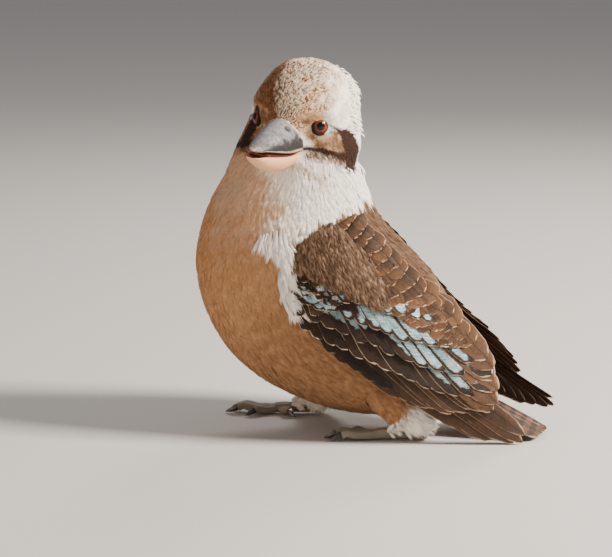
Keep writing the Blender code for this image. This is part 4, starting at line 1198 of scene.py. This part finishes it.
# places are along and up the wing, lifts are a feather's height at root and tip, and marks are its
# share of blue, the width of its pale edge and its share of dark bars
wingTiers = [
    {
        "name": "primaries", "count": 9, "width": 0.0125, "lifts": (-0.0030, -0.0010),
        "roots": [(0.034, 0.000), (0.030, 0.016)],
        "tips": [(0.142, -0.010), (0.164, -0.007), (0.179, -0.001), (0.189, 0.006), (0.185, 0.011)],
        "web": (0.066, 0.033, 0.018), "edge": (0.50, 0.34, 0.22), "marks": (0.0, 0.05, 0.0),
    },
    {
        "name": "secondaries", "count": 13, "width": 0.0150, "lifts": (-0.0030, 0.0002),
        "roots": [(0.024, -0.003), (0.040, 0.034)],
        "tips": [(0.104, -0.011), (0.124, -0.008), (0.140, -0.001), (0.157, 0.013)],
        "web": (0.062, 0.032, 0.018), "edge": (0.50, 0.34, 0.22), "marks": (0.0, 0.05, 0.0),
    },
    {
        "name": "tertials", "count": 6, "width": 0.0165, "lifts": (-0.0025, 0.0009),
        "roots": [(0.048, 0.034), (0.052, 0.052)],
        "tips": [(0.158, 0.012), (0.156, 0.022), (0.146, 0.031), (0.134, 0.038)],
        "web": (0.120, 0.056, 0.027), "edge": (0.56, 0.36, 0.22), "marks": (0.0, 0.05, 0.0),
    },
    {
        "name": "primaryCoverts", "count": 7, "width": 0.0120, "lifts": (-0.0030, 0.0004),
        "roots": [(0.012, -0.001), (0.016, 0.010)],
        "tips": [(0.096, -0.012), (0.072, -0.013), (0.050, -0.013), (0.030, -0.012)],
        "web": (0.024, 0.013, 0.008), "edge": (0.22, 0.14, 0.09), "marks": (0.0, 0.04, 0.0),
    },
    {
        "name": "greaterCoverts", "count": 15, "width": 0.0130, "lifts": (-0.0025, 0.0012),
        "roots": [(0.002, 0.006), (0.022, 0.022), (0.074, 0.042)],
        "tips": [
            (0.030, -0.011), (0.048, -0.008), (0.083, -0.001), (0.115, 0.003), (0.134, 0.010),
            (0.149, 0.020), (0.143, 0.029),
        ],
        "web": (0.038, 0.020, 0.011), "edge": (0.80, 0.64, 0.48), "marks": (1.0, 0.080, 0.0),
    },
    {
        "name": "rearMedian", "count": 12, "width": 0.0120, "lifts": (-0.0020, 0.0016),
        "roots": [(-0.004, 0.006), (0.020, 0.026), (0.074, 0.042)],
        "tips": [
            (0.020, -0.006), (0.048, 0.002), (0.078, 0.009), (0.106, 0.014), (0.127, 0.022),
            (0.128, 0.033),
        ],
        "web": (0.036, 0.020, 0.012), "edge": (0.66, 0.50, 0.36), "marks": (1.0, 0.060, 0.0),
    },
    {
        "name": "middleMedian", "count": 12, "width": 0.0115, "lifts": (-0.0018, 0.0019),
        "roots": [(-0.008, 0.010), (0.012, 0.030), (0.056, 0.046)],
        "tips": [(0.012, 0.000), (0.036, 0.009), (0.062, 0.017), (0.090, 0.024), (0.110, 0.033)],
        "web": (0.038, 0.021, 0.013), "edge": (0.66, 0.50, 0.36), "marks": (1.0, 0.070, 0.0),
    },
    {
        "name": "frontMedian", "count": 11, "width": 0.0110, "lifts": (-0.0015, 0.0022),
        "roots": [(-0.010, 0.014), (0.006, 0.034), (0.040, 0.050)],
        "tips": [(0.006, 0.007), (0.026, 0.017), (0.050, 0.026), (0.076, 0.034), (0.092, 0.040)],
        "web": (0.044, 0.024, 0.014), "edge": (0.68, 0.50, 0.35), "marks": (1.0, 0.080, 0.0),
    },
]

wingFields = [  # rows of small feathers like scales, each row's tips on a line from low to high
    {
        "name": "lesserCoverts", "rows": 6, "counts": (8, 6), "widths": (0.0092, 0.0072),
        "lengths": (0.0185, 0.0125), "tilt": 0.10,
        "rear": [(0.028, -0.001), (0.046, 0.033)], "front": [(-0.010, 0.004), (-0.002, 0.034)],
        "heading": (-30, -16), "lifts": (-0.0012, 0.0022),
        "web": (0.030, 0.018, 0.012), "warm": (0.080, 0.044, 0.025), "edge": (0.70, 0.50, 0.33),
        "marks": (1.0, 0.100, 0.0),
    },
    {
        "name": "scapulars", "rows": 15, "counts": (5, 10), "widths": (0.0135, 0.0082),
        "lengths": (0.028, 0.015), "tilt": 0.10,
        "rear": [(0.106, 0.032), (0.124, 0.042)], "front": [(0.008, 0.034), (0.012, 0.062)],
        "heading": (-14, -8), "lifts": (-0.0010, 0.0022),
        "web": (0.074, 0.035, 0.017), "warm": (0.155, 0.070, 0.030), "edge": (0.60, 0.38, 0.22),
        "marks": (0.0, 0.060, 0.0),
    },
]


def spread(line, count):
    # places spaced evenly along a line
    line = np.array(line)
    marks = np.concatenate([[0], np.cumsum(np.linalg.norm(np.diff(line, axis=0), axis=1))])
    wanted = np.linspace(0, marks[-1], count)
    return np.column_stack([np.interp(wanted, marks, line[:, k]) for k in (0, 1)])


def blade(surface, name, root, tip, width, lifts, tilt):
    # one feather as a thin closed blade: its points, and their strand, barb and wing places
    length = np.linalg.norm(tip - root)
    ahead = (tip - root) / length
    across = np.array([-ahead[1], ahead[0]])
    t, c = np.meshgrid(bladeForm["rows"], bladeForm["columns"], indexing="ij")
    bow = chance.normal(0, 0.0006)
    ragged = chance.normal(0, bladeForm["ragged"] / length, c.shape) * fade(0.80, 0.97, t)
    rim = 1 + chance.normal(0, 0.02, c.shape) * (np.abs(c) > 0.95)
    half = width / 2 * along(bladeForm["outline"], t) * rim
    sideways = half * c + bow * np.sin(t * math.pi)
    place = root + (tip - root) * (t + ragged)[..., None] + across * sideways[..., None]
    lift = lifts[0] + (lifts[1] - lifts[0]) * t - tilt * half * c - 0.0006 * c**2
    thick = bladeForm["shaft"] + (bladeForm["edge"] - bladeForm["shaft"]) * np.abs(c)
    points = [surface(name, place, lift + face * thick / 2).reshape(-1, 3) for face in (1, -1)]
    strand = np.stack([t, c, np.full_like(t, chance.uniform(0, 1))], axis=-1).reshape(-1, 3)
    barb = np.stack([t * length * 1000, c * half * 1000, np.zeros_like(t)], axis=-1).reshape(-1, 3)
    return [np.concatenate(points)] + [np.concatenate([x, x]) for x in (strand, barb, place.reshape(-1, 2))]


def bladeFaces():
    rows, columns = len(bladeForm["rows"]), len(bladeForm["columns"])
    top = tubeFaces(rows, columns, closed=False)
    start, back = np.arange(rows - 1) * columns, rows * columns
    faces = [top, top[:, ::-1] + back]
    for edge in (0, columns - 1):
        a = start + edge
        faces.append(np.stack([a, a + columns, a + columns + back, a + back], 1)[:, :: -1 if edge else 1])
    for row in (0, rows - 1):
        a = row * columns + np.arange(columns - 1)
        faces.append(np.stack([a, a + back, a + back + 1, a + 1], 1)[:, :: -1 if row else 1])
    return np.concatenate(faces)


def addBlades(title, surface, name, feathers, finish, replaced):
    # feathers is a list of (root, tip, width, lifts, tilt, web, edge, marks)
    faces = bladeFaces()
    cells = math.ceil(math.sqrt(len(feathers)))
    parts = []
    for k, (root, tip, width, lifts, tilt, web, edge, marks) in enumerate(feathers):
        points, strand, barb, places = blade(surface, name, root, tip, width, lifts, tilt)
        points[:, 2] = np.maximum(points[:, 2], bladeForm["floorGap"])
        each = len(points)
        shown = plain(marks, each)
        shown[:, 0] *= blueShare(places)
        under = np.arange(each) >= each // 2
        inCell = [0.05 + 0.42 * (strand[:, 1] + 1) / 2 + 0.48 * under, 0.04 + 0.92 * strand[:, 0]]
        parts.append({
            "points": points, "faces": faces + k * each, "strand": strand, "barb": barb, "marks": shown,
            "web": plain([*web, 1], each), "edge": plain([*edge, 1], each),
            "uv": (np.array([k % cells, k // cells]) + np.column_stack(inCell)) / cells,
        })
    joined = {key: np.concatenate([part[key] for part in parts]) for key in parts[0]}
    fields = {key: joined[key] for key in ("strand", "barb", "web", "edge", "marks")}
    addPiece(title, joined["points"], joined["faces"], finish, replaced, fields, joined["uv"])


def tierFeathers(tier):
    # a row of long feathers, from its lowest to its highest
    roots, tips = spread(tier["roots"], tier["count"]), spread(tier["tips"], tier["count"])
    for root, tip in zip(roots, tips):
        web = np.array(tier["web"]) * chance.uniform(0.8, 1.25)
        marks = np.array(tier["marks"]) * np.array([chance.uniform(0.7, 1.2), chance.uniform(0.7, 1.25), 1])
        jitter = chance.normal(0, 0.0008, 2)
        yield root, tip + jitter, tier["width"], tier["lifts"], bladeForm["tilt"], web, tier["edge"], marks


def between(ends, share):
    return np.array(ends[0]) * (1 - share) + np.array(ends[1]) * share


def fieldFeathers(field):
    # rows of scales from the rear forward, each row set half a feather off the last
    for row in range(field["rows"]):
        u = row / (field["rows"] - 1)
        low, high = (between(ends, u) for ends in zip(field["rear"], field["front"]))
        width, length, count = (float(between(field[key], u)) for key in ("widths", "lengths", "counts"))
        count = round(count)
        for k in range(count):
            v = (k + 0.25 + 0.5 * (row % 2)) / count
            tip = between((low, high), v) + chance.normal(0, 0.0007, 2)
            heading = math.radians(between(field["heading"], v) + chance.normal(0, 4))
            root = tip - length * chance.uniform(0.9, 1.1) * np.array([math.cos(heading), math.sin(heading)])
            web = between((field["web"], field["warm"]), chance.uniform(0, 1)) * chance.uniform(0.8, 1.2)
            varied = np.array([chance.uniform(0.5, 1.3), chance.uniform(0.5, 1.2), 1])
            size = width * chance.uniform(0.9, 1.15)
            marks = np.array(field["marks"]) * varied
            yield root, tip, size, field["lifts"], field["tilt"], web, field["edge"], marks


def wingPieces(finish):
    for name in ("left", "right"):
        feathers = [feather for tier in wingTiers for feather in tierFeathers(tier)]
        feathers += [feather for field in wingFields for feather in fieldFeathers(field)]
        addBlades(f"wingFeathers_{name}", wingSurface, name, feathers, finish, (f"wing_{name}",))
        print("feathers of one wing:", len(feathers))


fleshForm = {"reach": (-0.012, 0.105), "share": (0.06, 0.94), "mesh": (30, 20), "lifts": (-0.0022, -0.0130)}


def wingFlesh(finish):
    # the shoulder and forearm under the coverts
    form = fleshForm
    rows, columns = form["mesh"]
    reaches, shares = np.linspace(*form["reach"], rows), np.linspace(*form["share"], columns)
    reach, share = np.meshgrid(reaches, shares, indexing="ij")
    outer, inner = form["lifts"]
    colour = plain([*plumageColours["mantle"], 0.0], rows * columns * 2)
    for name in ("left", "right"):
        here, normal, _, _ = wingFrame(name, reach, share * along(wingForm["top"], reach))
        rings = np.concatenate([here + normal * outer, (here + normal * inner)[:, ::-1]], axis=1)
        faces = tubeFaces(rows, columns * 2)
        addPiece(f"wingFlesh_{name}", rings, faces, finish, fields={"plumage": colour})


tailFeathers = {
    "count": 12, "width": 0.0145, "lift": -0.0010, "stack": 0.0005, "slope": 0.002, "tilt": 0.08,
    "root": 0.004, "rootSpacing": 0.0018, "tipSpacing": 0.0032, "tipRound": 0.0020,
    "web": (0.150, 0.074, 0.042), "edge": (0.52, 0.42, 0.32), "marks": (0.0, 0.08, 0.75),
}


def tailPieces(finish):
    form = tailFeathers
    length = math.dist(tailForm["root"], tailForm["tip"])
    feathers = []
    middle = (form["count"] - 1) / 2
    for k in sorted(range(form["count"]), key=lambda k: -abs(k - middle)):
        place = k - middle
        lift = form["lift"] - form["stack"] * abs(place)
        root = np.array([form["root"], place * form["rootSpacing"]])
        tip = np.array([length - form["tipRound"] * (abs(place) / 4) ** 2, place * form["tipSpacing"]])
        lifts, tilt = (lift - form["slope"], lift), math.copysign(form["tilt"], place)
        feathers.append((root, tip, form["width"], lifts, tilt, form["web"], form["edge"], form["marks"]))
    addBlades("tailFeathers", tailSurface, "tail", feathers, finish, ("tail",))


# Eyes: a dark pupil in a red-brown iris, and the lids round them

eyeColours = {
    "pupil": (0.004, 0.003, 0.003), "iris": (0.26, 0.052, 0.013), "irisRim": (0.040, 0.011, 0.005),
    "lids": ((0.016, 0.009, 0.006), (0.050, 0.027, 0.018)),
}


def eyeFinish():
    constants = {"Roughness": 0.30, "Coat Weight": 0.45, "Coat Roughness": 0.03, "Specular IOR Level": 0.10}
    material, wires, shader = newFinish("eyeFinish", constants)
    ring, spoke, _ = wires.field("gaze").parts()
    rays = wires.node("ShaderNodeTexNoise", {"noise_dimensions": "2D"}, {
        "Vector": wires.node("ShaderNodeCombineXYZ", None, {0: spoke * 6.0, 1: ring * 3.0}), "Scale": 3.0,
    })
    iris = (rays * 1.2 - 0.1).mix(eyeColours["irisRim"], eyeColours["iris"])
    iris = ring.step(0.58, 0.84).mix(iris, eyeColours["irisRim"])
    feed(shader, Base_Color=ring.step(0.36, 0.40).mix(eyeColours["pupil"], iris))
    return material


def lidFinish():
    material, wires, shader = newFinish("lidFinish", {"Roughness": 0.85, "Specular IOR Level": 0.15})
    feed(shader, Base_Color=speckles(wires, 1500.0).mix(*eyeColours["lids"]))
    return material


def eyePieces():
    form = eyeForm
    ballFinish, hoodFinish = eyeFinish(), lidFinish()
    rows, around = form["mesh"]
    turns = np.linspace(0, fullTurn, around, endpoint=False)
    t, s = np.meshgrid(np.linspace(0, math.pi, rows), turns, indexing="ij")
    gaze = np.stack([t, s / math.pi, t * 0], axis=-1).reshape(-1, 3)
    swell, swellSpread = form["cornea"]
    radius = form["radius"] * (1 + swell * np.exp(-((t / swellSpread) ** 2)))
    # the lids are a thin hood that hugs the ball, open in an oval
    share, height = np.array(form["lidProfile"]).T
    opening = math.asin(form["lidRadius"] / form["radius"]) * (1 - form["lidOval"] * np.cos(2 * turns))
    lidTilt = opening[:, None] + share * (form["lidReach"] - opening[:, None])
    for name, side in (("left", 1), ("right", -1)):
        centre, aim = eyeCentre(side), eyeAim(side, "look")
        ball = centre + radius[..., None] * swing(t, aim, swing(s, *squareTo(aim)))
        faces = tubeFaces(rows, around)[:, ::-1]
        addPiece(f"eyeball_{name}", ball, faces, ballFinish, (f"eye_{name}",), {"gaze": gaze})
        aim = eyeAim(side, "lidAim")
        hood = swing(lidTilt, aim, swing(turns, *squareTo(aim))[:, None])
        hood = centre + (form["radius"] + height)[None, :, None] * hood
        addPiece(f"lids_{name}", hood, tubeFaces(around, len(share)), hoodFinish)


# Bill: two mandibles with a hooked tip, a dark mouth between them

billForm = {
    "root": 0.0180, "tip": 0.0748, "lowerTip": 0.0752,
    "sections": (34, 9), "hook": (0.068, 0.0690),  # sections up to the hook and along it, and where it starts
    "around": 40, "floor": 8, "archPower": 1.15,  # points round a mandible, and those across its hollow side
    "culmen": [
        (0.018, 0.0005), (0.0387, 0.0), (0.052, -0.0046), (0.064, -0.0102), (0.071, -0.0140),
        (0.0748, -0.0166),
    ],
    "tomium": [
        (0.018, -0.0188), (0.030, -0.0192), (0.044, -0.0200), (0.058, -0.0186), (0.068, -0.0174),
        (0.0748, -0.0176),
    ],
    "upperWidth": [
        (0.018, 0.0150), (0.030, 0.0150), (0.044, 0.0129), (0.058, 0.0099), (0.068, 0.0067),
        (0.0730, 0.0041), (0.0748, 0.0018),
    ],
    "opening": [(0.018, 0.0006), (0.030, 0.0007), (0.044, 0.0018), (0.060, 0.0032), (0.0760, 0.0036)],
    "gonys": [
        (0.018, -0.0300), (0.034, -0.0336), (0.046, -0.0336), (0.058, -0.0312), (0.068, -0.0270),
        (0.0735, -0.0236), (0.0752, -0.0218),
    ],
    "lowerWidth": [
        (0.018, 0.0140), (0.030, 0.0143), (0.044, 0.0131), (0.058, 0.0097), (0.068, 0.0070),
        (0.0735, 0.0042), (0.0752, 0.0018),
    ],
    "nostril": (0.0405, 0.0084, -0.0058), "nostrilSize": (0.0030, 0.0030, 0.0018), "nostrilDepth": 0.0012,
}
billLooks = {  # colours from root to tip, brightness at the cutting edge and at the crest, and the edge's rim; the upper bill's bright crest is a painted highlight
    "upper": {
        "stops": [
            (0.0, (0.10, 0.085, 0.08)), (0.40, (0.11, 0.105, 0.11)), (0.75, (0.10, 0.095, 0.10)),
            (0.93, (0.10, 0.09, 0.09)), (1.0, (0.32, 0.25, 0.20)),
        ],
        "light": (0.16, 2.0), "mottled": 1.9, "rim": (0.70, 0.44, 0.27), "rimSpan": (0.03, 0.10),
        "roughness": 0.30,
    },
    "lower": {
        "stops": [
            (0.0, (0.84, 0.36, 0.17)), (0.35, (1.0, 0.49, 0.235)), (0.75, (1.0, 0.56, 0.29)),
            (1.0, (0.98, 0.56, 0.32)),
        ],
        "light": (1.0, 0.88), "mottled": 0.15, "rim": (0.60, 0.30, 0.19), "rimSpan": (0.02, 0.10),
        "roughness": 0.33,
    },
    # painted shade in the nostril's hollow
    "nostril": (0.035, 0.022, 0.018),
    "mouth": ((0.045, 0.010, 0.010), (0.16, 0.030, 0.026)),
}
mouthForm = {"sections": (2, 32), "around": 20, "width": 0.86, "height": 0.3, "drop": 0.0004, "thick": 0.0014}


def billFinish(name, look):
    # colour runs along the bill, and changes with height above the cutting edge
    material, wires, shader = newFinish(name, {
        "Coat Roughness": 0.30, "Coat Weight": 0.10, "Specular IOR Level": 0.35,
    })
    lengthwise, heightwise, pit = wires.field("horn").parts()
    place = wires.metres()
    grain, fine = speckles(wires, 190.0, 4.0, place), speckles(wires, 1400.0, 2.0, place)
    patchNoise = {"Vector": place, "Scale": 520.0, "Detail": 3.0, "Roughness": 0.7}
    patches = wires.node("ShaderNodeTexNoise", None, patchNoise)
    body = wires.node("ShaderNodeValToRGB", {"stops": look["stops"]}, {0: lengthwise + (grain - 0.5) * 0.22})
    low, high = look["light"]
    # brighter towards the crest: on the upper bill a painted highlight, its dark lower part partly its own
    # slate and partly painted shade; the lower bill is a little darker towards the gonys
    rise = (heightwise + (grain - 0.5) * 1.4).step(0.28, 0.82)
    rim = 1 - (heightwise + (grain - 0.5) * 0.06).step(*look["rimSpan"])
    colour = rim.mix(body.shade(rise * (high - low) + low), look["rim"])
    colour = colour.shade(fine * 0.4 + (patches - 0.5) * look["mottled"] + 0.80)
    # painted shade darkens the nostril's pit
    colour = pit.step(0.15, 0.55).mix(colour, billLooks["nostril"])
    feed(
        shader, Base_Color=colour, Roughness=grain * 0.30 + look["roughness"],
        Normal=bump(wires, grain + fine * 0.5, 0.4, 0.0004),
    )
    return material


def mandible(places, edges, crests, widths, hollow):
    # sections of a mandible: arched to its crest, hollow along its edge
    turns = np.linspace(0, math.pi, billForm["around"] - billForm["floor"])
    arch = np.sin(turns) ** billForm["archPower"]
    inner = np.linspace(-0.9, 0.9, billForm["floor"])
    points, horn = [], []
    for x, edge, crest, width in zip(places, edges, crests, widths):
        across = np.concatenate([width * np.cos(turns), width * inner])
        up = np.concatenate([edge + (crest - edge) * arch, edge + (crest - edge) * hollow * (1 - inner**2)])
        points.append(headPlace(np.full(len(across), x), across, up))
        share = np.full(len(across), (x - places[0]) / (places[-1] - places[0]))
        horn.append(np.column_stack([share, np.concatenate([arch, inner * 0]), np.zeros(len(across))]))
    return np.array(points), np.concatenate(horn)


def billPlaces(tip):
    (coarse, fine), (first, second) = billForm["sections"], billForm["hook"]
    return np.concatenate([np.linspace(billForm["root"], first, coarse), np.linspace(second, tip, fine)])


def billPieces():
    form = billForm
    faces = closedTube(sum(form["sections"]), form["around"])
    places = billPlaces(form["tip"])
    edges, crests, widths = (along(form[key], places) for key in ("tomium", "culmen", "upperWidth"))
    upper, horn = mandible(places, edges, crests, widths, 0.35)
    upper = upper.reshape(-1, 3)
    local = toHead(upper)
    for side in (1, -1):
        nostril = np.array(form["nostril"]) * np.array([1, side, 1])
        nostril = local[np.argmin(np.linalg.norm(local - nostril, axis=1))]
        gap = (local - nostril) / np.array(form["nostrilSize"])
        dent = np.exp(-(gap**2).sum(axis=1))
        upper = upper - headLeft * (side * form["nostrilDepth"] * dent)[:, None]
        horn[:, 2] += dent
    slate = billFinish("upperBillFinish", billLooks["upper"])
    addPiece("upperBill", upper, faces, slate, ("bill_upper",), {"horn": horn})
    places = billPlaces(form["lowerTip"])
    crests, widths, gaps = (along(form[key], places) for key in ("gonys", "lowerWidth", "opening"))
    edges = along(form["tomium"], places) - gaps
    lower, horn = mandible(places, edges, crests, widths, 0.30)
    pale = billFinish("lowerBillFinish", billLooks["lower"])
    addPiece("lowerBill", lower, faces, pale, ("bill_lower",), {"horn": horn})
    mouth(places, edges, gaps, widths)


def mouth(places, edges, gaps, widths):
    # the dark red lining seen through the open bill
    form = mouthForm
    finish, wires, shader = newFinish("mouthFinish", {"Roughness": 0.35, "Coat Weight": 0.3})
    feed(shader, Base_Color=speckles(wires, 500.0).mix(*billLooks["mouth"]))
    turns = np.linspace(0, fullTurn, form["around"], endpoint=False)
    rows = []
    for k in range(*form["sections"]):
        middle = edges[k] + gaps[k] * form["height"] - form["drop"]
        across, up = widths[k] * form["width"] * np.cos(turns), middle + form["thick"] * np.sin(turns)
        rows.append(headPlace(np.full(len(turns), places[k]), across, up))
    addPiece("mouthLining", rows, closedTube(len(rows), form["around"]), finish)


# Legs: downy thighs, scaly feet and claws

thighForms = {  # the lower and upper end, and the radius at each
    "left": ((0.0275, 0.0740, 0.0115), (0.0300, 0.0360, 0.0400), 0.0095, 0.0150),
    "right": ((-0.0385, -0.0040, 0.0110), (-0.0290, 0.0200, 0.0500), 0.0090, 0.0170),
}
ankleForms = {  # the downy rear of the shank: its front and back, and the down's radius there
    "left": ((0.0290, 0.0500, 0.0050), (0.0268, 0.0775, 0.0085), 0.0046, 0.0085),
    "right": ((-0.0372, -0.0240, 0.0050), (-0.0388, -0.0030, 0.0085), 0.0044, 0.0080),
}
ankleCoat = {
    "spacing": 0.0012, "length": 0.0080, "width": 0.0020, "rise": 0.0026, "turn": 0.5, "mesh": (24, 24),
    "inset": 0.8,
}
thighCoat = {
    "depth": 0.0018, "length": 0.0120, "width": 0.0030, "rise": 0.0028, "turn": 0.34, "mesh": (40, 40),
    "density": 0.28, "white": (0.28, 0.50), "barWaves": 46, "barShare": 0.42,
    "rounded": 0.30,  # share of the length in the rounded lower end
    "leaving": (0.60, 0.40), "sunk": 0.80,  # the upper end, which sinks into the flank
    "floorGap": 0.002,
}


def legGrid(form, roundTo):
    rows, around = form["mesh"]
    return np.meshgrid(np.linspace(0, 1, rows), np.linspace(0, roundTo, around + 1), indexing="ij")


def thighColours(root, share, size):
    # barred like the belly above, white down below
    form, c = thighCoat, plumageColours
    bars = form["barShare"] * fade(0.0, 0.8, np.sin(share * form["barWaves"] + 2.0 * ripple(root, 0.012, 8)))
    belly = tint(plain(c["breast"], len(root)), c["breastPale"], size * 0.5 - 0.2)
    # the thigh under the body takes half of the belly's painted shade
    belly = tint(tint(belly, c["bellyShade"], 0.5), c["bar"], bars)
    shade = tint(belly, c["white"], 1 - fade(*form["white"], share))
    return np.column_stack([shade, np.zeros(len(root))])


def thighPieces(skin, coat):
    form = thighCoat
    rows, around = form["mesh"]
    for name, (low, high, lowRadius, highRadius) in thighForms.items():
        low, high = np.array(low), np.array(high)
        way = unit(high - low)
        t, turns = legGrid(form, fullTurn)
        start, span = form["leaving"]
        hanging = 1 - np.minimum(1, 0.10 + t / form["rounded"])
        leaving = np.maximum(0, (t - start) / span)
        radius = (lowRadius + (highRadius - lowRadius) * t) * np.sqrt(1 - hanging**2)
        radius = radius * np.sqrt(1 - form["sunk"] * leaving**2)
        out = swing(turns, *squareTo(way))
        outer = low + t[..., None] * (high - low) + radius[..., None] * out
        inner = outer - out * form["depth"]
        inner[..., 2] = np.maximum(inner[..., 2], form["floorGap"])
        colour = plain([*plumageColours["breastPale"], 0.0], rows * around)
        addPiece(
            f"thighSkin_{name}", inner[:, :-1], closedTube(rows, around), skin, (f"thigh_{name}",),
            {"plumage": colour},
        )
        spacing = form["density"] * math.sqrt(form["length"] * form["width"])
        row, column = scatter(outer, spacing, np.ones((rows - 1, around)))
        root, normal = readGrid(inner, row, column), unit(readGrid(out, row, column))
        lie = flatOn(normal, -way + np.array([0, 0, -0.15]))
        size = chance.uniform(0.8, 1.2, len(root))
        tone = thighColours(root, row / (rows - 1), size)
        unwrap = np.column_stack([column / (around + 1), row / rows]) * 0.98 + 0.01
        addCoat(
            f"thighDown_{name}", root, normal, lie, form["length"] * size, form["width"] * size,
            np.full(len(root), form["rise"]), tone, unwrap, coat, form["turn"],
        )
        ankleDown(name, coat)


def ankleDown(name, coat):
    form = ankleCoat
    front, rear, frontRadius, rearRadius = ankleForms[name]
    front, rear = np.array(front), np.array(rear)
    t, turns = legGrid(form, math.pi)
    way = unit(rear - front)
    out = swing(turns, squareTo(way)[0], upward)
    radius = (frontRadius + (rearRadius - frontRadius) * t) * form["inset"]
    grid = front + t[..., None] * (rear - front) + radius[..., None] * out
    row, column = scatter(grid, form["spacing"], np.ones((form["mesh"][0] - 1, form["mesh"][1])))
    root, normal = readGrid(grid, row, column), unit(readGrid(out, row, column))
    lie = flatOn(normal, way + np.array([0, 0, 0.1]) + chance.normal(0, 0.25, (len(root), 3)))
    size = chance.uniform(0.7, 1.2, len(root))
    shade = np.array(plumageColours["white"]) * chance.uniform(0.85, 1.05, len(root))[:, None]
    colours = np.column_stack([shade, np.zeros(len(root))])
    addTufts(f"ankleDown_{name}", form, size, root, normal, lie, colours, unwrapNear(root), coat)


footLook = {"dark": (0.30, 0.24, 0.165), "pale": (0.66, 0.58, 0.46), "groove": (0.055, 0.042, 0.028)}
clawLook = {"dark": (0.012, 0.010, 0.009), "pale": (0.075, 0.058, 0.045)}


def footFinish():
    material, wires, shader = newFinish("footFinish", {"Coat Roughness": 0.4})
    scales = wires.node("ShaderNodeTexVoronoi", {"feature": "DISTANCE_TO_EDGE"}, {"Scale": 620.0})
    tone = speckles(wires, 160.0, 3.0)
    colour = (tone * 1.6 - 0.3).mix(footLook["dark"], footLook["pale"])
    grooves = 1 - scales.step(0.0, 0.16)
    feed(
        shader, Base_Color=(grooves * 0.75).mix(colour, footLook["groove"]),
        Roughness=tone * 0.2 + 0.42, Normal=bump(wires, scales.step(0.0, 0.25), 0.6, 0.0006),
    )
    return material


def clawFinish():
    material, wires, shader = newFinish("clawFinish", {"Coat Weight": 0.4, "Coat Roughness": 0.15})
    tone = speckles(wires, 700.0)
    feed(shader, Base_Color=tone.mix(clawLook["dark"], clawLook["pale"]), Roughness=tone * 0.2 + 0.22)
    return material


def dressFeet():
    foot, claw = footFinish(), clawFinish()
    for name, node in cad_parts.items():
        if name.startswith(("foot_", "claw_")):
            for slot in node.material_slots:
                slot.material = foot if name.startswith("foot_") else claw


# Camera, floor and light

cameraForm = {
    "aimAt": (0.0200, -0.0053, 0.1053), "away": 1.533, "azimuth": 98.0, "elevation": 10.0, "lens": 135.3,
}
lights = [  # name, metres to the right, up and towards the camera, size, power, colour
    ("key", (1.45, 1.02, 0.42), 0.42, 96.0, (1.0, 0.93, 0.84)),
    ("fill", (-1.2, 0.15, 0.9), 1.1, 7.0, (1.0, 0.72, 0.48)),
    ("rim", (0.4, 1.0, -1.2), 0.5, 10.0, (1.0, 0.96, 0.90)),
]
studioLook = {"world": (0.98, 0.97, 1.0), "strength": 0.30, "floor": (0.62, 0.60, 0.57), "floorHalf": 20}


def cameraWays():
    azimuth, elevation = math.radians(cameraForm["azimuth"]), math.radians(cameraForm["elevation"])
    level = np.array([math.sin(azimuth), -math.cos(azimuth), 0.0])
    back = level * math.cos(elevation) + np.array([0, 0, math.sin(elevation)])
    right = np.array([math.cos(azimuth), math.sin(azimuth), 0.0])
    return right, level, back


def aimed(thing, spot, target):
    thing.location = Vector(spot)
    thing.rotation_euler = Vector(target - spot).to_track_quat("-Z", "Y").to_euler()
    bpy.context.scene.collection.objects.link(thing)


def studio():
    right, level, back = cameraWays()
    target = np.array(cameraForm["aimAt"]) + shift
    camera = bpy.data.cameras.new("camera")
    camera.lens = cameraForm["lens"]
    camera.sensor_width = 36.0
    camera.clip_start = 0.05
    holder = bpy.data.objects.new("camera", camera)
    aimed(holder, target + back * cameraForm["away"], target)
    bpy.context.scene.camera = holder
    for name, (toRight, up, nearer), size, power, colour in lights:
        lamp = bpy.data.lights.new(name, "AREA")
        lamp.energy, lamp.size, lamp.color = power, size, colour
        spot = target + right * toRight + np.array([0, 0, up]) + level * nearer
        aimed(bpy.data.objects.new(name, lamp), spot, target)
    world = bpy.data.worlds.new("studio")
    bpy.context.scene.world = world
    world.use_nodes = True
    background = world.node_tree.nodes["Background"].inputs
    background["Color"].default_value = (*studioLook["world"], 1)
    background["Strength"].default_value = studioLook["strength"]
    finish = newFinish("floorFinish", {"Roughness": 0.85, "Base Color": (*studioLook["floor"], 1)})[0]
    half = studioLook["floorHalf"]
    mesh = bpy.data.meshes.new("floor")
    corners = [(-half, -half, 0), (half, -half, 0), (half, half, 0), (-half, half, 0)]
    mesh.from_pydata(corners, [], [(0, 1, 2, 3)])
    mesh.materials.append(finish)
    floor = bpy.data.objects.new("floor", mesh)
    bpy.context.scene.collection.objects.link(floor)
    floor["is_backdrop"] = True


skinPiece()
print("skin done")
softCoat = coatFinish()
bodyCoatPieces(softCoat)
plumePieces(softCoat)
shoulderPieces(softCoat)
billBasePieces(softCoat)
featherCoat = featherFinish()
print("coat done")
wingPieces(featherCoat)
fleshFinish = skinFinish()
wingFlesh(fleshFinish)
tailPieces(featherCoat)
print("tail done")
eyePieces()
billPieces()
print("head pieces done")
thighPieces(fleshFinish, softCoat)
dressFeet()
print("legs done")
studio()
boxes = {"cad": cadBounds, "visual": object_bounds()}
{key: [[float(x) for x in corner] for corner in box] for key, box in boxes.items()}
